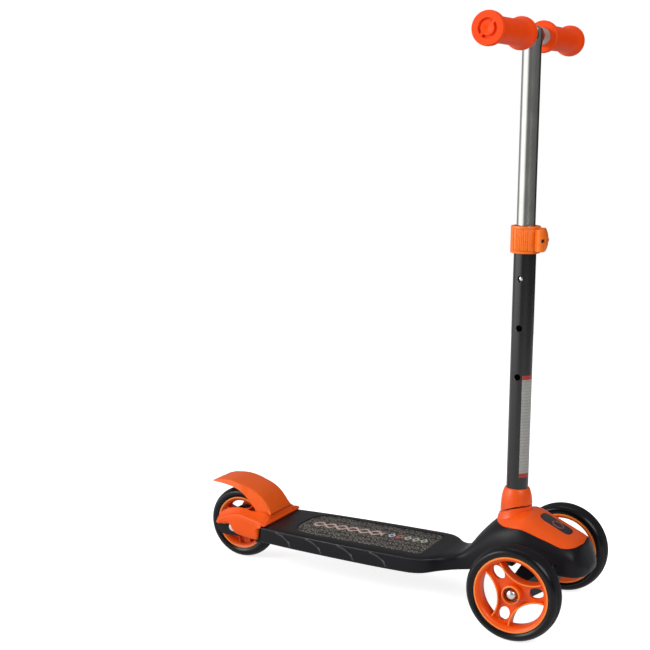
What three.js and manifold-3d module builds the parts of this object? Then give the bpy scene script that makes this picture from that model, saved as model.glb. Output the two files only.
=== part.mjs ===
// Three wheel kids scooter that steers by leaning. Lengths are in millimetres.
// x runs forward, y to the rider's left and z up; the origin is on the ground at the middle.
import * as THREE from 'three';
import { mergeVertices } from 'three/addons/utils/BufferGeometryUtils.js';
import Module from 'manifold-3d';

const wasm = await Module();
wasm.setup();

// Wheels and layout
const wheelbase = 448;
const track = 196;
const frontWheelRadius = 60;
const frontWheelWidth = 27;
const frontRimRadius = 48;
const rearWheelRadius = 51;
const rearWheelWidth = 25;
const rearRimRadius = 38;
const frontSpokeTurn = 9.5;
const rearSpokeTurn = 40;
const noseReach = 70;
const frontX = (wheelbase + rearWheelRadius - noseReach) / 2;
const rearX = frontX - wheelbase;

// Small clearances
const fit = 0.3;
const slack = 1.5;
const overrun = 4;
const weld = 0.02;

// Parts shared by all wheels
const axleRadius = 4;
const hubRadius = 12;
const hubHalfWidth = 12;
const bearingRadius = 9.5;
const bearingWidth = 6;
const outerBearingAt = 3.5;
const spacerRadius = 7;
const frontSpacerLength = 5.4;
const rearSpacerLength = 5.9;
const nutRadius = 7.5;
const nutCollarRadius = 8.2;
const nutCollarWidth = 1.2;
const frontNutLength = 9;
const rearNutLength = 6.7;
const rimWall = 2.6;
const bearingStop = 2;
const nutFlatsShare = 0.62;
const nutDomeShares = [[0.9, 0.5], [0.55, 0.88]];
const rimLipWidth = 1.6;
const tyreSeatDepth = 4.2;
const webThickness = 5;
const ribThickness = 2.2;
const ribWidth = 16;
const spokeCount = 3;
const openNearShare = 0.24;
const openSpan = 42;
const holeAtShare = 0.616;
const holeLengthShare = 0.65;
const holeWidthShare = 0.48;
const tyreShares = [[0.04, 0.88], [0.3, 1], [0.6, 0.96], [0.88, 0.68], [1, 0.2]];

// Deck and front housing moulding
const deckTop = 66;
const deckBottom = 41;
const deckHalfWidth = 60;
const deckRearGap = 6;
const neckReach = 125;
const houseHalfWidth = 47;
const houseHeight = 98;
const deckSkin = 5;
const rib = 4;
const undersideShare = 0.291;
const underside = deckBottom + houseHeight * undersideShare;
const cavityShare = 0.439;
const cavityHeight = deckBottom + houseHeight * cavityShare;
const cavityRear = 24;
const cavityFront = 36;
const forkArmWidth = 10.5;
const forkInner = hubHalfWidth + rearSpacerLength + 2 * fit;
const forkOuter = forkInner + forkArmWidth;
const forkEndRadius = 15;
const forkTop = deckTop - rib;

// Grip pad
const padLength = 198;
const padHalfWidth = 43;
const padRearAt = 43;
const padThickness = 1.6;
const padSink = 0.3;
const padRearCorner = 34;
const padFrontCorner = 12;

// Pockets under the mouldings
const bayShare = 0.9;
const bayCount = 5;
const neckPocketHalf = 21;
const neckPocketShares = [
  [0.04, -0.1], [0.04, 0.18], [0.16, 0.26], [0.22, 0.42], [0.29, 0.62], [0.33, 0.64], [0.33, -0.1],
];
const upperRoomRear = 8;
const upperRoomFront = 50;
const upperRoomHalf = 28;
const nosePocketFront = 60;
const nosePocketHalf = 20;

// Front cover, its inset plate and the cone round the column
const steerTilt = 25;
const coverTopShare = 0.9286;
const coverTopAtAxle = deckBottom + houseHeight * coverTopShare;
const coverReach = 56;
const coverThickness = 6;
const coverWall = 4;
const coverEdgeDrop = 16;
const coverHalfWidth = 38;
const coverRearMargin = 3;
const coverRearShare = 0.735;
const coverRearFloor = deckBottom + houseHeight * coverRearShare;
const insetLength = 44;
const insetHalfWidth = 12;
const insetDepth = 1.2;
const insetAt = 20;
const seamShare = 0.9745;
const seamHeight = deckBottom + houseHeight * seamShare;
const seamTilt = 14.5;
const coneHeight = 27.5;
const coneTop = seamHeight + coneHeight;
const coneRadius = 20;
const coneWall = 0.7;
const coneShares = [[0.3, 1], [0.5, 0.86], [0.78, 0.5], [1, 0]];

// Column and handlebar
const columnBack = 34.5;
const columnRadius = 14;
const columnWall = 1.2;
const columnTop = 498;
const innerTubeRadius = 11.7;
const innerTubeWall = 1.2;
const innerTubeOverlap = 98;
const innerTubeFoot = columnTop - innerTubeOverlap;
const barHeight = 733;
const barRadius = 11;
const barWall = 1.4;
const gripInner = 35.5;
const gripOuter = 150;
const gripFlangeRadius = 20;
const gripWaistRadius = 15.3;
const gripEndWall = 3;
const gripSlotInner = 8.1;
const gripSlotOuter = 11.6;
const gripBridgeWidth = 3;
const gripShares = [
  [0, 1], [0.045, 1], [0.06, 0.3], [0.12, 0], [0.5, 0.12], [0.88, 0], [0.94, 0.3], [0.955, 1], [0.99, 1],
  [1, 0.8],
];
const holeRadius = 3.9;
const topHoleDrop = 63;
const topHoleHeight = columnTop - topHoleDrop;
const holeSpacing = 62.5;
const holeCount = 3;
const socketRadius = 19.5;
const socketFloorThickness = 5.5;
const socketFloor = underside + socketFloorThickness;
const columnFoot = socketFloor + fit;

// Snap button and its spring
const buttonRadius = 3.3;
const buttonTipBack = 0.4;
const buttonFlangeRadius = 4.6;
const buttonFlangeAt = 5.6;
const buttonFlangeThickness = 1.2;
const buttonSpringThickness = 0.8;
const buttonSpringWidth = 6;
const buttonSpringLength = 30;

// Clamp at the top of the column
const clampHeight = 34;
const clampRise = 3;
const clampBottom = columnTop + clampRise - clampHeight;
const clampRingRadius = 18.6;
const clampRecessRadius = 15.9;
const clampEarReach = 27.5;
const clampEarThickness = 5;
const clampSlit = 3;
const clampBoltRadius = 2.5;
const clampBoltAt = 23.5;
const clampNutRadius = 5;
const clampNutThickness = 4;
const leverPinRadius = 2;
const leverKnuckleRadius = 5;
const leverFrom = -122;
const leverTo = -34;
const leverRibCount = 7;
const leverRibDepth = 0.5;
const leverRibShare = 0.6;
const leverInnerTrim = 8;
const clampRim = 3;
const eyeShare = 0.24;
const bushLength = 36;
const bushLip = 1.2;

// Steering truck: leaning pivot, rubbers and beam
const pivotAhead = 14;
const pivotHeight = 62;
const kingpinRadius = 5;
const bossRadius = 15;
const bossBelow = 14;
const bossAbove = 12;
const rubberRadius = 12;
const rubberLength = 6;
const kingpinHeadRadius = 8.5;
const kingpinHeadLength = 6;
const washerThickness = 1.5;
const seatDepth = 8;
const seatRadius = 14;
const kingpinNutLength = 7;
const kingpinNutRadius = 8;
const nutPocketRadius = 10.5;
const beamHalfLength = track / 2 - hubHalfWidth - frontSpacerLength - 2 * fit;
const beamRear = 13;
const beamFront = 24;
const beamEndRadius = 12;
const beamEndShare = 0.75;
const beamBottom = 46;
const beamTop = 76;

// Rear cover, brake fender, its pin and spring
const flangeThickness = 3.2;
const coverPlateTop = deckTop + fit + flangeThickness;
const rearCoverThickness = 3;
const cheekTail = 26;
const cheekTailHalf = 37;
const cheekFront = 64;
const cheekFrontHalf = 49.8;
const flangeHalf = 50;
const flangeReach = 8;
const flangeCorner = 6;
const forkRoot = 16;
const forkFootHalf = 43;
const rearScrewAhead = 46;
const rearScrewY = 38;
const screwCapThickness = 0.5;
const coverBossTop = coverPlateTop - screwCapThickness;
const riserThickness = 7.5;
const riserHeight = 7.3;
const riserBevel = 2.6;
const cheekShares = [
  [-0.51, 1.098], [-0.471, 1.02], [-0.353, 1.069], [-0.235, 1.039], [-0.039, 1.114],
  [0.059, 0.988], [0.196, 0.869], [0.608, 0.839], [0.902, 0.837], [0.98, 0.912], [1.02, 1.165],
  [1.098, 1.318], [1.157, 1.353], [0.941, 1.431], [0.647, 1.529], [0.333, 1.6], [0.157, 1.569],
  [-0.118, 1.49], [-0.294, 1.333],
];
const fenderTopShares = [
  [-0.765, 2.206], [-0.51, 2.282], [-0.137, 2.3], [0.184, 2.229], [0.588, 2.092], [0.888, 1.904],
  [1.027, 1.745], [1.147, 1.569],
];
const fenderSkirtShares = [
  [1.157, 1.52], [1.108, 1.514], [1.078, 1.373], [0.941, 1.373], [0.745, 1.529], [0.569, 1.725],
  [0.294, 1.961], [-0.137, 2.118], [-0.706, 2.167],
];
const fenderTail = 39;
const fenderWide = 10;
const cheekGap = 2;
const fenderHalfWidth = 30;
const fenderTailHalfWidth = 24;
const fenderThickness = 3;
const fenderPinShares = [0.98, 1.47];
const fenderPinRadius = 2.5;
const fenderEarThickness = 4;
const fenderEarRadius = 5.5;
const fenderSpringRadius = 4.4;
const fenderSpringLength = 12;
const screwRadius = 2;
const screwHeadRadius = 3.8;
const screwHeadHeight = 2.4;
const plugLength = 18;

// Finishes
const finishes = {
  orange: [0xf0500f, 0.42, 0],
  black: [0x1b1b1d, 0.5, 0],
  tyre: [0x101013, 0.3, 0],
  pad: [0x4a4845, 0.85, 0],
  inset: [0x2c2a30, 0.35, 0],
  silver: [0xc9cacc, 0.3, 0.9],
  steel: [0xaeb0b3, 0.3, 1],
  columnBlack: [0x1d1e20, 0.35, 0.3],
  rubber: [0x242424, 0.9, 0],
};

function finish(name) {
  const [color, roughness, metalness] = finishes[name];
  return new THREE.MeshStandardMaterial({ color, roughness, metalness });
}

const rad = THREE.MathUtils.degToRad;
const axes = {
  x: new THREE.Vector3(1, 0, 0),
  y: new THREE.Vector3(0, 1, 0),
  z: new THREE.Vector3(0, 0, 1),
};

// Solids: every closed geometry becomes a solid that can be joined and cut

function solidFrom(positions, faces) {
  let volume = 0;
  const corner = (i) => new THREE.Vector3(...positions.slice(3 * i, 3 * i + 3));
  for (const [a, b, c] of faces) {
    volume += corner(a).dot(corner(b).cross(corner(c)));
  }
  const order = volume < 0 ? faces.map(([a, b, c]) => [a, c, b]) : faces;
  return new wasm.Manifold(new wasm.Mesh({
    numProp: 3,
    vertProperties: new Float32Array(positions),
    triVerts: new Uint32Array(order.flat()),
  }));
}

function solid(geometry) {
  const bare = geometry.clone();
  bare.deleteAttribute('normal');
  bare.deleteAttribute('uv');
  const merged = mergeVertices(bare);
  const index = Array.from(merged.index.array);
  const faces = [];
  for (let i = 0; i < index.length; i += 3) {
    const [a, b, c] = index.slice(i, i + 3);
    if (a !== b && b !== c && c !== a) faces.push([a, b, c]);
  }
  return solidFrom(Array.from(merged.attributes.position.array), faces);
}

function moved(shape, x, y, z) {
  return shape.translate([x, y, z]);
}

function joined(shapes) {
  return shapes.reduce((sum, shape) => sum.add(shape));
}

// An outline in the plane square to an axis, extruded from one place to another along it
function extruded(outline, from, to, axis) {
  const shape = new THREE.Shape(outline.map(([a, b]) => new THREE.Vector2(a, b)));
  const geometry = new THREE.ExtrudeGeometry(shape, { depth: to - from, bevelEnabled: false });
  if (axis === 'z') geometry.translate(0, 0, from);
  if (axis === 'y') geometry.translate(0, 0, -to);
  if (axis === 'x') geometry.translate(0, 0, from);
  const turn = new THREE.Matrix4();
  if (axis === 'y') turn.makeBasis(axes.x, axes.z, axes.y.clone().negate());
  if (axis === 'x') turn.makeBasis(axes.y, axes.z, axes.x);
  geometry.applyMatrix4(turn);
  return solid(geometry);
}

// A profile of [radius, place] points turned round an axis; a ring profile closes on itself
function turned(profile, axis, segments = 24) {
  const points = profile.map(([radius, place]) => new THREE.Vector2(radius, place));
  if (profile[0][0] > 0) points.push(points[0].clone());
  const geometry = new THREE.LatheGeometry(points, segments);
  const turn = new THREE.Matrix4();
  if (axis === 'z') turn.makeBasis(axes.x, axes.z, axes.y.clone().negate());
  if (axis === 'x') turn.makeBasis(axes.y, axes.x, axes.z.clone().negate());
  geometry.applyMatrix4(turn);
  return solid(geometry);
}

function rod(radius, from, to, axis, segments = 16) {
  return turned([[0, from], [radius, from], [radius, to], [0, to]], axis, segments);
}

function ring(outer, inner, from, to, axis, segments = 24) {
  return turned([[inner, from], [outer, from], [outer, to], [inner, to]], axis, segments);
}

function block(x0, x1, y0, y1, z0, z1) {
  const geometry = new THREE.BoxGeometry(x1 - x0, y1 - y0, z1 - z0);
  return solid(geometry.translate((x0 + x1) / 2, (y0 + y1) / 2, (z0 + z1) / 2));
}

function arc(radius, fromDegrees, toDegrees, steps, x = 0, y = 0) {
  return Array.from({ length: steps + 1 }, (_, i) => {
    const angle = rad(fromDegrees + ((toDegrees - fromDegrees) * i) / steps);
    return [x + radius * Math.cos(angle), y + radius * Math.sin(angle)];
  });
}

// A rounded outline from corners given as [x, y, radius]
function rounded(corners, steps = 5) {
  const points = [];
  corners.forEach(([x, y, radius], i) => {
    const before = corners[(i + corners.length - 1) % corners.length];
    const after = corners[(i + 1) % corners.length];
    const back = new THREE.Vector2(before[0] - x, before[1] - y).normalize();
    const on = new THREE.Vector2(after[0] - x, after[1] - y).normalize();
    if (!radius) {
      points.push([x, y]);
      return;
    }
    const half = Math.acos(THREE.MathUtils.clamp(back.dot(on), -1, 1)) / 2;
    const reach = radius / Math.tan(half);
    for (let s = 0; s <= steps; s += 1) {
      const t = s / steps;
      const a = back.clone().multiplyScalar(reach * (1 - t) ** 2);
      points.push([x + a.x + on.x * reach * t ** 2, y + a.y + on.y * reach * t ** 2]);
    }
  });
  return points;
}

// A skin through closed sections of equal point counts, with flat ends
function lofted(sections) {
  const count = sections[0].length;
  const positions = sections.flat(2);
  const faces = [];
  for (let s = 0; s < sections.length - 1; s += 1) {
    for (let i = 0; i < count; i += 1) {
      const a = s * count + i;
      const b = s * count + ((i + 1) % count);
      faces.push([a, b, b + count], [a, b + count, a + count]);
    }
  }
  const last = (sections.length - 1) * count;
  for (let i = 1; i < count - 1; i += 1) {
    faces.push([0, i + 1, i], [last, last + i, last + i + 1]);
  }
  return solidFrom(positions, faces);
}

const scooter = new THREE.Group();

function piece(group, name, shape, finishName) {
  const mesh = shape.simplify(weld).getMesh();
  const geometry = new THREE.BufferGeometry();
  geometry.setAttribute('position', new THREE.BufferAttribute(Float32Array.from(mesh.vertProperties), 3));
  geometry.setIndex(Array.from(mesh.triVerts));
  geometry.computeVertexNormals();
  const part = new THREE.Mesh(geometry, finish(finishName));
  part.name = name;
  group.add(part);
  return part;
}

function groupAt(parent, x, y, z) {
  const group = new THREE.Group();
  group.position.set(x, y, z);
  parent.add(group);
  return group;
}

// Wheels: soft tyre cast on a rim with three broad pierced spokes, on two ball bearings

function tyre(radius, width, rimRadius) {
  const half = width / 2;
  const seat = rimRadius - tyreSeatDepth + fit;
  const bead = half - rimLipWidth - fit - rimLipWidth;
  const lip = rimRadius + fit;
  const side = tyreShares.map(([up, across]) => [lip + (radius - lip) * up, half * across]);
  const other = side.map(([r, y]) => [r, -y]).reverse();
  return turned([[lip, -bead], [seat, -bead], [seat, bead], [lip, bead], ...side, ...other], 'y', 36);
}

function rim(width, rimRadius, spokeTurn, seats) {
  const half = width / 2 - rimLipWidth;
  const seat = rimRadius - tyreSeatDepth;
  const inner = seat - rimWall;
  const barrel = turned([
    [inner, -half], [rimRadius, -half], [rimRadius, -half + rimLipWidth], [seat, -half + rimLipWidth],
    [seat, half - rimLipWidth], [rimRadius, half - rimLipWidth], [rimRadius, half], [inner, half],
  ], 'y', 36);
  const openNear = hubRadius + (inner - hubRadius) * openNearShare;
  const centre = (inner ** 2 - openNear ** 2) / (2 * (inner * Math.cos(rad(openSpan)) - openNear));
  const bow = centre - openNear;
  const web = ring(inner + rimWall / 2, hubRadius - rimWall, -webThickness / 2, webThickness / 2, 'y', 36);
  const hub = rod(hubRadius, -hubHalfWidth, hubHalfWidth, 'y', 24);
  const disc = rod(inner + rimWall / 2, -ribWidth / 2, ribWidth / 2, 'y', 36);
  let spider = web;
  let openings = null;
  for (let i = 0; i < spokeCount; i += 1) {
    const angle = rad(spokeTurn + (360 * (i + 0.5)) / spokeCount);
    const away = [Math.cos(angle) * centre, Math.sin(angle) * centre];
    const outer = moved(ring(bow + ribThickness, bow - fit, -ribWidth / 2, ribWidth / 2, 'y', 40),
      away[0], 0, away[1]);
    spider = spider.add(outer.intersect(disc));
    const hole = moved(rod(bow, -ribWidth, ribWidth, 'y', 40), away[0], 0, away[1]);
    openings = openings ? openings.add(hole) : hole;
  }
  let holes = null;
  for (let i = 0; i < spokeCount; i += 1) {
    const angle = spokeTurn + (360 * i) / spokeCount;
    const span = inner - hubRadius;
    const oval = arc(span / 2, 0, 360, 12).slice(1).map(([a, b]) => (
      [hubRadius + span * holeAtShare + holeLengthShare * a, holeWidthShare * b]));
    const cut = extruded(oval, -ribWidth, ribWidth, 'y').rotate([0, -angle, 0]);
    holes = holes ? holes.add(cut) : cut;
  }
  const [first, second] = seats;
  const bore = joined([
    rod(bearingRadius + fit, -hubHalfWidth - overrun, first, 'y'),
    rod(bearingRadius - bearingStop, -hubHalfWidth, hubHalfWidth, 'y'),
    rod(bearingRadius + fit, second, hubHalfWidth + overrun, 'y'),
  ]);
  const clear = disc.subtract(rod(hubRadius, -ribWidth, ribWidth, 'y'));
  const open = openings.intersect(clear).intersect(rod(inner, -ribWidth, ribWidth, 'y', 36));
  return spider.subtract(open).subtract(holes).add(barrel).add(hub).subtract(bore);
}

function bearing() {
  return ring(bearingRadius, axleRadius + fit, 0, bearingWidth, 'y', 20);
}

// Bearings are given by the place of their lower side along the axle, lowest first
function wheel(parent, name, x, y, z, radius, width, rimRadius, spokeTurn, bearingPlaces) {
  const group = groupAt(parent, x, y, z);
  const [low, high] = bearingPlaces;
  piece(group, `${name}_tyre`, tyre(radius, width, rimRadius), 'tyre');
  const seats = [low + bearingWidth + fit, high - fit];
  piece(group, `${name}_rim`, rim(width, rimRadius, spokeTurn, seats), 'orange');
  piece(group, `${name}_bearing_right`, moved(bearing(), 0, low, 0), 'steel');
  piece(group, `${name}_bearing_left`, moved(bearing(), 0, high, 0), 'steel');
}

// A domed nut, open towards the axle: flange, flats and dome; the rod in it stops short of the dome
function domeNut(length) {
  const flatsEnd = length * nutFlatsShare;
  const flats = extruded(arc(nutRadius, 0, 300, 5), 0, flatsEnd, 'y');
  const flange = rod(nutCollarRadius, 0, nutCollarWidth, 'y', 18);
  const across = nutRadius * Math.cos(Math.PI / 6);
  const dome = turned([
    [0, nutCollarWidth], [across, nutCollarWidth], [across, flatsEnd],
    ...nutDomeShares.map(([wide, up]) => [across * wide, flatsEnd + (length - flatsEnd) * up]),
    [0, length],
  ], 'y', 12);
  return joined([flats, flange, dome]).subtract(rod(axleRadius + fit, -overrun, flatsEnd, 'y'));
}

// Rear wheel with its through bolt, spacers and nuts

const rearAxle = groupAt(scooter, rearX, 0, rearWheelRadius);
wheel(scooter, 'rear_wheel', rearX, 0, rearWheelRadius, rearWheelRadius, rearWheelWidth, rearRimRadius,
  rearSpokeTurn, [-hubHalfWidth, hubHalfWidth - bearingWidth]);
const rearNutAt = forkOuter + fit;
const rearRodHalf = rearNutAt + rearNutLength * nutFlatsShare - fit;
piece(rearAxle, 'rear_axle', rod(axleRadius, -rearRodHalf, rearRodHalf, 'y'), 'steel');
const rearSpacer = ring(spacerRadius, axleRadius + fit, hubHalfWidth + fit, forkInner - fit, 'y', 16);
const rearNut = moved(domeNut(rearNutLength), 0, rearNutAt, 0);
piece(rearAxle, 'rear_spacer_left', rearSpacer, 'steel');
piece(rearAxle, 'rear_spacer_right', rearSpacer.mirror([0, 1, 0]), 'steel');
piece(rearAxle, 'rear_axle_nut_left', rearNut, 'steel');
piece(rearAxle, 'rear_axle_nut_right', rearNut.mirror([0, 1, 0]), 'steel');

// Steering truck: beam with a leaning boss, two front wheels on one through axle

const truck = groupAt(scooter, frontX, 0, 0);
const tilt = rad(steerTilt);

function leaning(shape) {
  return moved(shape.rotate([0, steerTilt, 0]), pivotAhead, 0, pivotHeight);
}

const beamPlan = [
  [-beamEndRadius * beamEndShare, -beamHalfLength], [beamEndRadius, -beamHalfLength],
  [beamFront, -bossRadius - beamEndRadius], [beamFront, bossRadius + beamEndRadius],
  [beamEndRadius, beamHalfLength], [-beamEndRadius * beamEndShare, beamHalfLength],
  [-beamRear, bossRadius + beamEndRadius], [-beamRear, -bossRadius - beamEndRadius],
];
const beamFace = [
  [-beamHalfLength, frontWheelRadius - beamEndRadius], [-bossRadius, beamBottom],
  [bossRadius, beamBottom], [beamHalfLength, frontWheelRadius - beamEndRadius],
  [beamHalfLength, frontWheelRadius + beamEndRadius], [bossRadius, beamTop],
  [-bossRadius, beamTop], [-beamHalfLength, frontWheelRadius + beamEndRadius],
];
const beamBlock = extruded(beamPlan, beamBottom - overrun, beamTop + overrun, 'z')
  .intersect(extruded(beamFace, -beamRear - overrun, beamFront + overrun, 'x'));
const boss = leaning(rod(bossRadius, -bossBelow, bossAbove, 'z', 28));
const bossBore = leaning(rod(kingpinRadius + fit, -bossBelow - overrun, bossAbove + overrun, 'z'));
const rubberRoom = (from, to) => leaning(rod(rubberRadius + slack, from, to, 'z'));
const axleBore = moved(rod(axleRadius + fit, -beamHalfLength - overrun, beamHalfLength + overrun, 'y'),
  0, 0, frontWheelRadius);
const rubberTop = bossAbove + fit + rubberLength;
const rubberFoot = bossBelow + fit + rubberLength;
const beam = beamBlock.add(boss).subtract(bossBore).subtract(axleBore)
  .subtract(rubberRoom(bossAbove, rubberTop + slack))
  .subtract(rubberRoom(-rubberFoot - rubberFoot, -bossBelow));
piece(truck, 'axle_beam', beam, 'black');

const outerNutAt = track / 2 + outerBearingAt + fit;
const frontRodHalf = outerNutAt + frontNutLength * nutFlatsShare - fit;
const frontAxleRod = moved(rod(axleRadius, -frontRodHalf, frontRodHalf, 'y'), 0, 0, frontWheelRadius);
piece(truck, 'front_axle', frontAxleRod, 'steel');
const frontSpacer = moved(ring(spacerRadius, axleRadius + fit, beamHalfLength + fit,
  track / 2 - hubHalfWidth - fit, 'y', 16), 0, 0, frontWheelRadius);
const frontNut = moved(domeNut(frontNutLength), 0, outerNutAt, frontWheelRadius);
piece(truck, 'front_spacer_left', frontSpacer, 'steel');
piece(truck, 'front_spacer_right', frontSpacer.mirror([0, 1, 0]), 'steel');
piece(truck, 'front_axle_nut_left', frontNut, 'steel');
piece(truck, 'front_axle_nut_right', frontNut.mirror([0, 1, 0]), 'steel');
wheel(truck, 'front_wheel_left', 0, track / 2, frontWheelRadius, frontWheelRadius, frontWheelWidth,
  frontRimRadius, frontSpokeTurn, [-hubHalfWidth, outerBearingAt - bearingWidth]);
wheel(truck, 'front_wheel_right', 0, -track / 2, frontWheelRadius, frontWheelRadius, frontWheelWidth,
  frontRimRadius, frontSpokeTurn, [-outerBearingAt, hubHalfWidth - bearingWidth]);

// Kingpin stack: bolt from below, washer, two rubbers, nut above the moulding's seat

const seatFace = rubberTop + fit;
const seatTop = seatFace + seatDepth;
const kingpinHeadTop = -rubberFoot - washerThickness - fit - fit;
const lowerRubber = ring(rubberRadius, kingpinRadius + fit, -rubberFoot, -bossBelow - fit, 'z');
const upperRubber = ring(rubberRadius, kingpinRadius + fit, bossAbove + fit, rubberTop, 'z');
const kingpinWasher = ring(rubberRadius, kingpinRadius + fit, kingpinHeadTop + fit,
  kingpinHeadTop + fit + washerThickness, 'z');
const kingpinHead = extruded(arc(kingpinHeadRadius, 0, 300, 5), kingpinHeadTop - kingpinHeadLength,
  kingpinHeadTop, 'z');
const kingpinShank = rod(kingpinRadius, kingpinHeadTop, seatTop + kingpinNutLength, 'z');
const kingpinNut = extruded(
  arc(kingpinNutRadius, 0, 300, 5), seatTop + fit, seatTop + kingpinNutLength, 'z')
  .subtract(rod(kingpinRadius + fit, seatTop, seatTop + kingpinNutLength + overrun, 'z'));
const stack = groupAt(scooter, frontX, 0, 0);
piece(stack, 'lower_rubber', leaning(lowerRubber), 'rubber');
piece(stack, 'upper_rubber', leaning(upperRubber), 'rubber');
piece(stack, 'kingpin_washer', leaning(kingpinWasher), 'steel');
piece(stack, 'kingpin', leaning(kingpinHead.add(kingpinShank)), 'steel');
piece(stack, 'kingpin_nut', leaning(kingpinNut), 'steel');

// One moulding from the rear fork to the nose, lofted through sections.
// Rows: along, half width, top, bottom, height of the widest level, squareness above, below.

const deckShares = [
  [0, 0.83, 1, 0, 0.5, 9, 9],
  [0.08, 0.865, 1, 0, 0.5, 9, 9],
  [0.2, 0.915, 1, 0, 0.5, 9, 9],
  [0.34, 0.95, 1, 0, 0.5, 9, 9],
  [0.5, 0.98, 1, 0, 0.5, 9, 9],
  [0.7, 1, 1, 0, 0.5, 9, 9],
  [0.86, 1, 1, 0.02, 0.5, 9, 9],
  [0.905, 0.985, 1, 0.05, 0.5, 9, 9],
  [0.935, 0.945, 1, 0.08, 0.5, 9, 9],
  [0.96, 0.875, 1, 0.11, 0.5, 8, 9],
  [0.98, 0.8, 1, 0.14, 0.5, 7, 9],
];
const houseShares = [
  [0, 0.915, 0.255, 0.041, 0.4, 6, 8],
  [0.036, 0.81, 0.262, 0.046, 0.4, 5, 7],
  [0.077, 0.725, 0.275, 0.054, 0.4, 4.5, 6],
  [0.117, 0.672, 0.306, 0.065, 0.4, 4, 6],
  [0.155, 0.65, 0.37, 0.075, 0.4, 3.4, 6],
  [0.191, 0.65, 0.455, 0.087, 0.4, 3, 6],
  [0.232, 0.68, 0.57, 0.112, 0.4, 2.6, 6],
  [0.284, 0.745, 0.69, 0.158, 0.4, 2.4, 6],
  [0.335, 0.81, 0.79, 0.214, 0.4, 2.4, 6],
  [0.387, 0.872, 0.86, 0.26, 0.38, 2.45, 6],
  [0.439, 0.925, 0.905, 0.286, 0.36, 2.5, 6],
  [0.5, 0.975, 0.95, 0.291, 0.34, 2.5, 7],
  [0.568, 0.995, 0.985, 0.291, 0.32, 2.5, 8],
  [0.61, 1, 0.963, 0.29, 0.32, 2.5, 8],
  [0.68, 1, 0.898, 0.286, 0.32, 2.5, 8],
  [0.76, 0.985, 0.823, 0.281, 0.33, 2.5, 8],
  [0.84, 0.95, 0.749, 0.272, 0.35, 2.55, 8],
  [0.9, 0.89, 0.692, 0.267, 0.37, 2.6, 8],
  [0.928, 0.83, 0.645, 0.265, 0.38, 2.6, 8],
  [0.945, 0.775, 0.58, 0.265, 0.4, 2.5, 7],
  [0.963, 0.68, 0.503, 0.267, 0.42, 2.5, 6],
  [0.982, 0.52, 0.424, 0.275, 0.45, 2.4, 5],
  [1, 0.25, 0.348, 0.3, 0.5, 2.4, 4],
];
const sectionAngleShares = [0, 0.25, 0.46, 0.66, 0.85, 1];

function bodySection(x, halfWidth, top, bottom, widest, powerAbove, powerBelow) {
  const level = bottom + (top - bottom) * widest;
  const quarter = (height, power) => sectionAngleShares.map((share) => {
    const angle = (share * Math.PI) / 2;
    return [halfWidth * Math.cos(angle) ** (2 / power), height * Math.sin(angle) ** (2 / power)];
  });
  const above = quarter(top - level, powerAbove);
  const below = quarter(level - bottom, powerBelow);
  above[above.length - 1][0] = 0;
  below[below.length - 1][0] = 0;
  return [
    ...above.map(([y, z]) => [x, y, level + z]),
    ...above.slice(0, -1).reverse().map(([y, z]) => [x, -y, level + z]),
    ...below.slice(1).map(([y, z]) => [x, -y, level - z]),
    ...below.slice(1, -1).reverse().map(([y, z]) => [x, y, level - z]),
  ];
}

const deckRearX = rearX + rearWheelRadius + deckRearGap;
const neckX = frontX - neckReach;
const noseX = frontX + noseReach;
const deckThickness = deckTop - deckBottom;
const form = lofted([
  ...deckShares.map(([along, width, top, bottom, widest, above, below]) => bodySection(
    deckRearX + (neckX - deckRearX) * along, deckHalfWidth * width,
    deckBottom + deckThickness * top, deckBottom + deckThickness * bottom, widest, above, below)),
  ...houseShares.map(([along, width, top, bottom, widest, above, below]) => bodySection(
    neckX + (noseX - neckX) * along, houseHalfWidth * width,
    deckBottom + houseHeight * top, deckBottom + houseHeight * bottom, widest, above, below)),
]);

// The front cover is the top of that form, parted along an outline and a sloping floor

const columnX = frontX - columnBack;
const coverRearX = columnX - coneRadius - coverRearMargin;
const coverFrontX = frontX + coverReach;
const coverOutlineShares = [
  [0, 0], [0.015, 0.24], [0.06, 0.45], [0.14, 0.66], [0.24, 0.82], [0.38, 0.94], [0.55, 0.99],
  [0.7, 1], [0.83, 0.98], [0.91, 0.88], [0.965, 0.68], [0.99, 0.38], [1, 0],
];
const coverShoulderX = frontX + (coverTopAtAxle - coverEdgeDrop - coverRearFloor) / Math.tan(tilt);

function coverOutline(grow) {
  const length = coverFrontX - coverRearX;
  const half = coverOutlineShares.map(([along, across]) => {
    const x = coverRearX - grow + (length + 2 * grow) * along;
    return [x, (coverHalfWidth + grow) * across];
  });
  return [...half, ...half.slice(1, -1).reverse().map(([x, y]) => [x, -y])];
}

function aboveCoverFloor(drop) {
  const floorAt = (x) => coverTopAtAxle - (x - frontX) * Math.tan(tilt) - coverEdgeDrop - drop;
  const ceiling = coneTop + overrun;
  return extruded([
    [coverRearX - overrun, coverRearFloor - drop], [coverShoulderX, coverRearFloor - drop],
    [coverFrontX + overrun, floorAt(coverFrontX + overrun)],
    [coverFrontX + overrun, ceiling], [coverRearX - overrun, ceiling],
  ], -deckHalfWidth, deckHalfWidth, 'y');
}

const flare = moved(turned([
  [0, coverRearFloor], [coneRadius + coverThickness * 2, coverRearFloor],
  [coneRadius + coverThickness, coverRearFloor + coverThickness],
  [coneRadius + coverRearMargin, coverRearFloor + coverThickness * 2],
  [coneRadius, coverRearFloor + coverThickness * 3], [coneRadius, coneTop], [0, coneTop],
], 'z', 28), columnX, 0, 0);

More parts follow.
